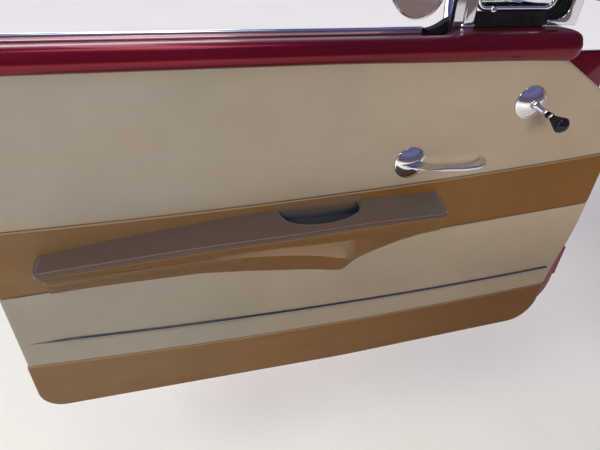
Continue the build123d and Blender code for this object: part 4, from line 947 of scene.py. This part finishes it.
# Lever: a thin web that leaves the dome and gathers into a blade, its end turned to the panel
lever_face = spline([
    (-21, 7.5), (-16, 15), (-8, 23), (4, 31), (20, 36.6), (46, 37.8), (80, 38), (106, 37.6),
    (120, 34.5), (130, 27), (135, 18), (136, 10.5),
], 100)
lever_back = spline([
    (13, 5), (18, 5), (23, 6), (26, 10), (32, 18.5), (43, 25.5), (60, 29), (82, 30.4),
    (102, 29.8), (114, 27.2), (122.5, 22), (127.6, 16), (129, 10.8),
], 100)
thick = np.interp(np.linspace(0, 1, 100), [0, 0.12, 0.22, 0.32, 0.42, 0.8, 0.95, 1],
                  [2.4, 2.6, 3.0, 5.0, 7.8, 8.0, 7.4, 5.6])
lever = Build("lever")
shape = ring(30, 2.6)
rows = []
for face, back, size in zip(lever_face, lever_back, thick):
    x, reach = ((face + back) / 2 + np.outer(shape[:, 0], (face - back) / 2)).T
    z = shape[:, 1] * size / 2 * (1 - 0.15 * (abs(shape[:, 0]) ** 3))
    rise = np.interp(x, [-20, 24, 50, 80, 111, 128, 136], [1.0, 1.6, 0.0, -2.2, -1.8, -0.4, 1.0])
    rows.append(places(HANDLE_ALONG + x, -reach, HANDLE_HEIGHT + rise + z))
lever.grid(rows, wrap=True, cap=True)
lever.make(CHROME, "inside_handle", sharp=60)

# Vent crank: hub, round arm, plated ring and a dark flared knob
arm = Build("crank_arm")
hub = [(0, 8), (1.5, 8), (4.5, 7.4), (7.5, 6.2), (9.2, 4.2), (10, 2), (10.2, 0)]
lathed(arm, (CRANK_ALONG, -11, CRANK_HEIGHT), (0, -1, 0), hub, 40)
path = spline([
    (CRANK_ALONG, -15.5, CRANK_HEIGHT), (886, -18.5, -74.4), (890, -21.4, -77.2),
    (893.5, -24.5, -79.4), (894.4, -30, -80.8),
], 26)
swept(arm, path, np.linspace(5.2, 4.5, 26), ring(24))
arm_end = np.array([894.0, -24.0, -79.5])
axis = np.array([0.20, -1.0, -0.26])
axis /= np.linalg.norm(axis)
socket = [(0, 0.1), (0, 4.9), (1, 5.6), (2.5, 5.9), (5.2, 5.9), (6.4, 5.6), (6.8, 4.6)]
lathed(arm, arm_end + axis, axis, socket, 40)
arm.make(CHROME, "vent_crank", sharp=50)
knob = Build("crank_grip")
flare = [
    (6.2, 4.4), (7, 5.2), (9, 5.4), (13, 5.4), (15, 5.6), (21, 6.4), (26, 8.0), (32, 10.6),
    (36.5, 12.4), (39, 13.1), (40.9, 13.1), (41.9, 12.7),
]
lathed(knob, arm_end, axis, flare + cap_outline(42.2, 12.3, 50.5, 12), 56)
knob.make(KNOB, "crank_knob", "black_plastic", sharp=50)
band = Build("crank_grip_band")
ferrule = [(15.2, 5.0), (15.5, 6.4), (16.4, 6.9), (18.6, 7.1), (19.4, 6.9), (19.8, 5.6)]
lathed(band, arm_end, axis, ferrule, 48)
band.make(CHROME, sharp=50)

# Vent window
BAR_ALONG, PANE_DEPTH = 760, 50


def shifted(loop, distance):
    """A closed side-view line moved outward, or inward if the distance is negative."""
    before, after = np.roll(loop, 1, axis=0), np.roll(loop, -1, axis=0)
    run = after - before
    run /= np.maximum(np.linalg.norm(run, axis=1), 1e-9)[:, None]
    area = np.sum(loop[:, 0] * after[:, 1] - after[:, 0] * loop[:, 1])
    return loop + np.column_stack([run[:, 1], -run[:, 0]]) * distance * np.sign(area)


def slab(build, loop, near, far, radius):
    """A flat piece between two depths, its edges rounded."""
    quarter = np.linspace(0, pi / 2, 6)
    rows = []
    for face, way, turns in ((near, 1, quarter[::-1]), (far, -1, quarter)):
        for a in turns:
            line = shifted(loop, -radius * (1 - cos(a)))
            rows.append(upright(line, face + way * radius * (1 - sin(a))))
    build.grid(rows, wrap=True, cap=True)


bar = Build("division_bar_chrome")
shape = ring(40, 4.5)
bar.grid([
    places(BAR_ALONG + 10 * size * shape[:, 0], PANE_DEPTH + 11 * size * shape[:, 1], z)
    for z, size in ((40, 1.0), (44, 1.0), (356.6, 1.0), (357.6, 0.96), (358, 0.88))
], wrap=True, cap=True)
collar = (np.array([11.4, 11.2, 10.6, 9]), np.array([12.2, 12, 11.4, 9]))
swept(bar, [(BAR_ALONG, PANE_DEPTH, z) for z in (40, 42.6, 43.4, 43.6)], collar, shape, up=(1, 0, 0))
bar.make(CHROME, "division_bar", sharp=40)

sheath = Build("channel_sheath")
for depth, way in ((43.4, 1), (56.6, -1)):
    sheath.grid([
        places([735.6, 735.0, 735.4, 742, 750], depth + way * np.array([1.2, 0.5, 0, 0, 0]), z)
        for z in np.linspace(41, 357.5, 12)
    ])
sheath.make(CHROME, sharp=50)

FRAME_LOOP = rounded([
    ((902, 40), 1.5), ((959, 40), 1.5), ((959, 358), 18), ((770, 358), 1.5),
    ((770, 344), 1.5), ((938, 344), 24), ((938, 48.5), 22), ((902, 48.5), 1.5),
], steps=16)
vent_frame = Build("vent_frame_chrome")
slab(vent_frame, FRAME_LOOP, PANE_DEPTH - 11, PANE_DEPTH + 11, 1.3)
vent_frame.make(CHROME, "vent_frame", sharp=40)

SASH_LOOP = rounded([((775.5, 65), 12), ((912, 65), 16), ((912, 338.5), 22), ((775.5, 338.5), 12)], steps=20)
PIVOT = [(0, 5.6), (1.5, 6.1), (3, 5.9), (4.4, 4.8), (5.3, 3.0), (5.7, 1.2), (5.8, 0)]
sash = Build("vent_sash_chrome")
dense = fine_line(closed(SASH_LOOP), 3.0)
swept(sash, upright(dense, PANE_DEPTH), 3.95, ring(24, 2.3), up=(0, 1, 0), close=True)
lathed(sash, (801, 47.5, 62.8), (0.1, -1, 0.1), PIVOT, 36)
for low, high in ((59.5, 66), (338, 344)):
    swept(sash, [(800, PANE_DEPTH, low), (800, PANE_DEPTH, high)], 3.5, ring(24), up=(1, 0, 0))
sash.make(CHROME, "vent_sash", sharp=50)

# Rubber under the sash, the web in the frame's front corner and the ramp beside the channel
seal = Build("vent_seal_rubber")
cabin_face = [(41.2, 40), (42.4, 44), (43.2, 50), (44.6, 57), (46, 59.6), (50, 60.4), (56, 60.2), (61, 59.3)]
street_face = [(66, 48), (74, 36), (82, 25.2), (74, 25), (74, 23), (48, 23), (48, 40)]
profile = np.concatenate([spline(cabin_face, 26), street_face])
seal.grid([places(x, *profile.T) for x in np.linspace(770.2, 902, 30)], wrap=True, cap=True)
WEB_REAR = 800


def web_line(front, low, high, foot, head):
    """The web's edge in side view, round in the frame's two front corners."""
    corners = [((WEB_REAR, low), 0), ((front, low), foot), ((front, high), head), ((WEB_REAR, high), 0)]
    return rounded(corners, steps=20)


web_outer = web_line(937.9, 48.6, 343.9, 22, 24)
web_inner = web_line(915.8, 61.2, 342.3, 19.8, 26)
for a, b, lift in ((0, 0.18, 0), (0.22, 0.55, 0.8), (0.6, 1.0, 1.6)):
    seal.grid([
        upright(web_outer + (web_inner - web_outer) * share, depth)
        for share, depth in ((a, 53.6), (a, 50.8 + lift), (a + 0.03, 50.2 + lift), (b - 0.03, 50 + lift),
                             (b, 50.8 + lift), (b, 54), (b, 60.8), (a, 60.8))
    ])
ramp = spline([(700, 33), (712, 35.6), (724, 41), (737, 48.6), (747, 54), (750, 61.5)], 30)
ramp_foot = np.column_stack([ramp[:, 0], np.full(30, 25.0)])
seal.grid([
    upright(line, depth)
    for line, depth in ((ramp_foot, 58), (ramp - (0, 1), 57.2), (ramp, 58.2), (ramp, 72),
                        (ramp - (0, 1.2), 73.6), (ramp_foot, 74))
])
seal.make(SEAL, "vent_rubber", "black_rubber", sharp=40)

# Mirror
MIRROR_RADIUS = 60
centre = (745.0, 200.0, 84.0)
facing = (-0.90, -0.44, 0.0)
head = Build("mirror_shell")
rim = [(0.8, 63.5), (2.2, 63.4), (3.3, 62.8), (4.0, 61.7), (3.9, 60.8), (3.0, 60.4), (1.0, 60.4)]
lathed(head, centre, facing, cap_outline(0, 63.3, -22, 30)[::-1] + rim, 120)
head.make(CHROME, "mirror_head", sharp=50)
glass = Build("mirror_pane")
bulge = [(1.6 + 1.6 * (1 - (r / MIRROR_RADIUS) ** 2), r) for r in np.linspace(58, 0, 14)]
lathed(glass, centre, facing, [(1.2, MIRROR_RADIUS + 0.6), (1.6, MIRROR_RADIUS)] + bulge, 120)
glass.make(MIRROR_PAINTED_REFLECTION, "mirror_glass", "mirror_glass", sharp=None)
stem = Build("mirror_arm")
foot = [(0, 15), (1.2, 15), (2.4, 14.4), (4.4, 12.4), (6.2, 10.4), (7, 9.6), (9, 8.6)]
lathed(stem, (757, 92, 25), (0, 0, 1), foot, 56)
path = spline([
    (757, 92, 28), (760, 101, 36), (768, 120, 51), (777, 141, 68.5), (783.5, 156, 81),
    (784, 164, 84.4), (776, 172, 84.2), (764, 184, 84), (755, 193, 84),
], 60)
radii = np.interp(np.linspace(0, 1, 60), [0, 0.1, 0.5, 1], [9, 8.6, 6.2, 6])
swept(stem, path, radii, ring(28), up=(0.2, 0.1, 1))
stem.make(CHROME, "mirror_stem", sharp=50)

# Outside handle, button and lock
BOW_HEIGHT = -92
bow = arc([(58, 108), (127, 149), (196, 108)], 60)
share = abs(np.linspace(-1, 1, 60))
grip = Build("outside_bow")
swept(grip, places(*bow.T, BOW_HEIGHT), (5.6 + 6.4 * share**5, 8.6 + 1.2 * share**4), ring(32, 2.8))
grip.make(CHROME, "outside_handle", sharp=50)
for name, node, z, radius, reach in (("outside_button", "push_button", BOW_HEIGHT, 10, 24),
                                     ("outside_lock", "key_lock", -138, 9, 15)):
    stud = Build(name)
    lathed(stud, (22, 112, z), (0, 1, 0), [
        (0, radius + 1.2), (reach * 0.34, radius + 1.2), (reach * 0.4, radius + 0.6),
        (reach * 0.42, radius - 0.6), (reach - 4.6, radius - 0.8), (reach - 3.2, radius - 1.6),
        (reach - 2.6, radius - 2.8), (reach - 2.9, 1.0), (reach - 2.9, 0),
    ], 56)
    stud.make(CHROME, node, sharp=40)

# Cross-headed screws on the latch plate, their slots dark boxes of painted shadow
SCREW_HEAD = [(0, 4.6), (0.5, 4.8), (1.2, 4.4), (1.8, 3.0), (2.0, 1.2), (2.0, 0)]
SCREWS = [(depth, z) for depth in (53, 79) for z in (-262, -198)]
screws = Build("latch_screws")
# The slots are painted shadow: dark boxes set into the screw heads
slots = Build("latch_screw_slots")
for depth, z in SCREWS:
    lathed(screws, (-0.6, depth, z), (-1, 0, 0), SCREW_HEAD, 32)
    for turn in (0.4, 0.4 + pi / 2):
        c, s = cos(turn), sin(turn)
        corners = [
            (x, depth + a * c - b * s, z + a * s + b * c)
            for x in (-2.75, -1.0)
            for a, b in ((-2.6, -0.45), (2.6, -0.45), (2.6, 0.45), (-2.6, 0.45))
        ]
        sides = [(i, (i + 1) % 4, (i + 1) % 4 + 4, i + 4) for i in range(4)]
        slots.patch(corners, [(0, 1, 2, 3), (4, 5, 6, 7), *sides])
screws.make(ZINC, sharp=40)
slots.make(PAINTED_SHADOW)

# Bolts on the door's hinge leaves
WASHER = [(0, 6.2), (0.8, 6.2), (0.8, 5.2), (1.0, 5.2)]
BOLT_HEAD = [(0, 5.2), (2.6, 5.2), (3.2, 4.6), (3.3, 0)]
bolts = Build("hinge_bolts")
for middle in (-230, -520):
    for depth in (54, 77):
        for z in (middle - 35.5, middle + 35.5):
            lathed(bolts, (1104.9, depth, z), (1, 0, 0), WASHER, 36)
            lathed(bolts, (1105.6, depth, z), (1, 0, 0), BOLT_HEAD, 6)
bolts.make(ZINC, sharp=30)

# Finishes of the pieces that keep their CAD shape
GLAZED = ("door_glass", "vent_glass")
LEAVES = ("upper_door_leaf", "lower_door_leaf", "upper_pillar_leaf", "lower_pillar_leaf")
FINISHES = (
    (RED_PLAIN, "red_paint", ("inner_shell",)),
    (RUBBER, "black_rubber", ("inner_belt_seal", "outer_belt_seal", "weatherstrip")),
    (FELT, "black_rubber", ("rear_glass_run", "division_run")),
    (PANE, "window_glass", GLAZED),
    (ZINC, "zinc_steel", ("latch_plate", "latch_rotor", "upper_hinge_pin", "lower_hinge_pin")),
    (RED_PLAIN, "hinge_paint", LEAVES),
)


def finish_node(name, material):
    """Gives a CAD piece its material, and softened edges unless it is glass."""
    node = frame["nodes"][name]
    node.data.materials.clear()
    node.data.materials.append(material)
    node.data.polygons.foreach_set("use_smooth", [True] * len(node.data.polygons))
    weld = node.modifiers.new("weld", "WELD")
    weld.merge_threshold = 0.00001
    if name not in GLAZED:
        bevel = node.modifiers.new("edges", "BEVEL")
        bevel.width, bevel.segments, bevel.angle_limit = 0.0006, 2, radians(35)
        bevel.harden_normals = True


for material, slot, names in FINISHES:
    for name in names:
        finish_node(name, material)


# Stage, light and camera
def floor():
    """A plain pale floor that brightens into a backdrop far behind."""
    bpy.ops.mesh.primitive_plane_add(size=14, location=(-0.6, 0.5, -0.75))
    plane = bpy.context.object
    plane.name = "floor"
    n = surface("pale_floor")
    tint = n.mix(n.ramp(n.noise(1.4), 0.35, 0.7), (0.79, 0.77, 0.635), (0.85, 0.83, 0.69))
    far = n.node("ShaderNodeVectorMath", {0: n.where}, operation="LENGTH")["Value"]
    rays = n.node("ShaderNodeLightPath")
    mirrored = n.math("MAXIMUM", rays["Is Glossy Ray"], rays["Is Transmission Ray"])
    seen = n.math("MAXIMUM", rays["Is Camera Ray"], mirrored)
    n.finish(tint, n.ramp(n.noise(60, 3), 0.3, 0.7, 0.6, 0.75), n.bump(n.noise(300, 2), 0.0004, 0.2),
             Emission_Color=(1.0, 0.965, 0.90, 1),
             Emission_Strength=n.math("MULTIPLY", seen, n.ramp(far, 1.6, 4.6, 0, 0.55)))
    plane.data.materials.append(n.owner)


def lamp(name, place, target, size, power, color=(1, 1, 1), mirrored=True):
    """A soft rectangular lamp; it can be left out of reflections."""
    data = bpy.data.lights.new(name, "AREA")
    data.shape, data.size, data.size_y = "RECTANGLE", *size
    data.energy, data.color = power, color
    obj = bpy.data.objects.new(name, data)
    bpy.context.scene.collection.objects.link(obj)
    obj.location = place
    obj.visible_glossy = mirrored
    obj.rotation_mode = "QUATERNION"
    obj.rotation_quaternion = (Vector(target) - Vector(place)).to_track_quat("-Z", "Y")


def sky():
    """A soft studio surround: a bright band low behind the door, dusky in front and overhead."""
    surround = bpy.data.worlds.new("surround")
    bpy.context.scene.world = surround
    n = Nodes(surround)
    where = n.split(n.node("ShaderNodeTexCoord")["Generated"])
    behind = n.bands(where["Z"], (
        (0.0, (0.30, 0.26, 0.36)), (0.12, (0.80, 0.70, 0.95)), (0.34, (0.92, 0.92, 1.0)),
        (0.56, (0.95, 0.80, 0.95)), (0.72, (0.24, 0.20, 0.42)), (0.84, (0.10, 0.10, 0.34)),
        (1.0, (0.07, 0.10, 0.38)),
    ))
    before = n.bands(where["Z"], (
        (0.0, (0.20, 0.15, 0.15)), (0.10, (0.13, 0.10, 0.18)), (0.3, (0.15, 0.14, 0.26)),
        (0.5, (0.20, 0.21, 0.35)), (0.7, (0.14, 0.16, 0.35)), (1.0, (0.08, 0.11, 0.30)),
    ))
    side = n.ramp(n.math("MULTIPLY_ADD", where["X"], -0.5, where["Y"]), 0.26, 0.44)
    background = n.tree.nodes["Background"].inputs
    n.feed(background["Color"], n.mix(side, before, behind))
    n.feed(background["Strength"], 0.9)


def photo_camera():
    """The photograph's viewpoint: solved from the trim's straight edges."""
    data = bpy.data.cameras.new("camera")
    data.lens, data.sensor_width = 28.02, 36.0
    data.clip_start, data.clip_end = 0.02, 60
    camera = bpy.data.objects.new("camera", data)
    bpy.context.scene.collection.objects.link(camera)
    yaw, pitch, roll = radians(15.78), radians(34.30), radians(2.52)
    forward = Vector((sin(yaw) * cos(pitch), cos(yaw) * cos(pitch), -sin(pitch)))
    right = Vector((cos(yaw), -sin(yaw), 0))
    up = right.cross(forward)
    across = cos(roll) * right + sin(roll) * up
    above = -sin(roll) * right + cos(roll) * up
    turn = Matrix((across, above, -forward)).transposed()
    camera.matrix_world = Matrix.Translation(world((311.0, -640.4, 185.1))) @ turn.to_4x4()
    bpy.context.scene.camera = camera


floor()
sky()
lamp("key", (-0.9, -3.1, 1.15), (-0.75, -0.1, -0.2), (1.8, 0.9), 78, (1.0, 0.975, 0.94), mirrored=False)
lamp("glow", (-2.9, -0.9, 1.9), (-2.3, -0.7, -0.7), (1.4, 1.0), 38, (0.94, 1.0, 1.0))
lamp("top", (-1.0, -0.6, 3.0), (-0.6, 0.0, -0.2), (1.6, 1.2), 15, (0.98, 1.0, 1.0))
lamp("sheen", (-1.0, 0.58, 2.35), (-0.85, -0.1, 0.28), (0.5, 2.4), 12, (1.0, 0.84, 0.98))
lamp("rim", (-1.6, 2.6, 1.8), (-0.9, 0.0, 0.1), (2.6, 1.0), 30)
photo_camera()
bpy.context.scene.view_settings.view_transform = "Standard"
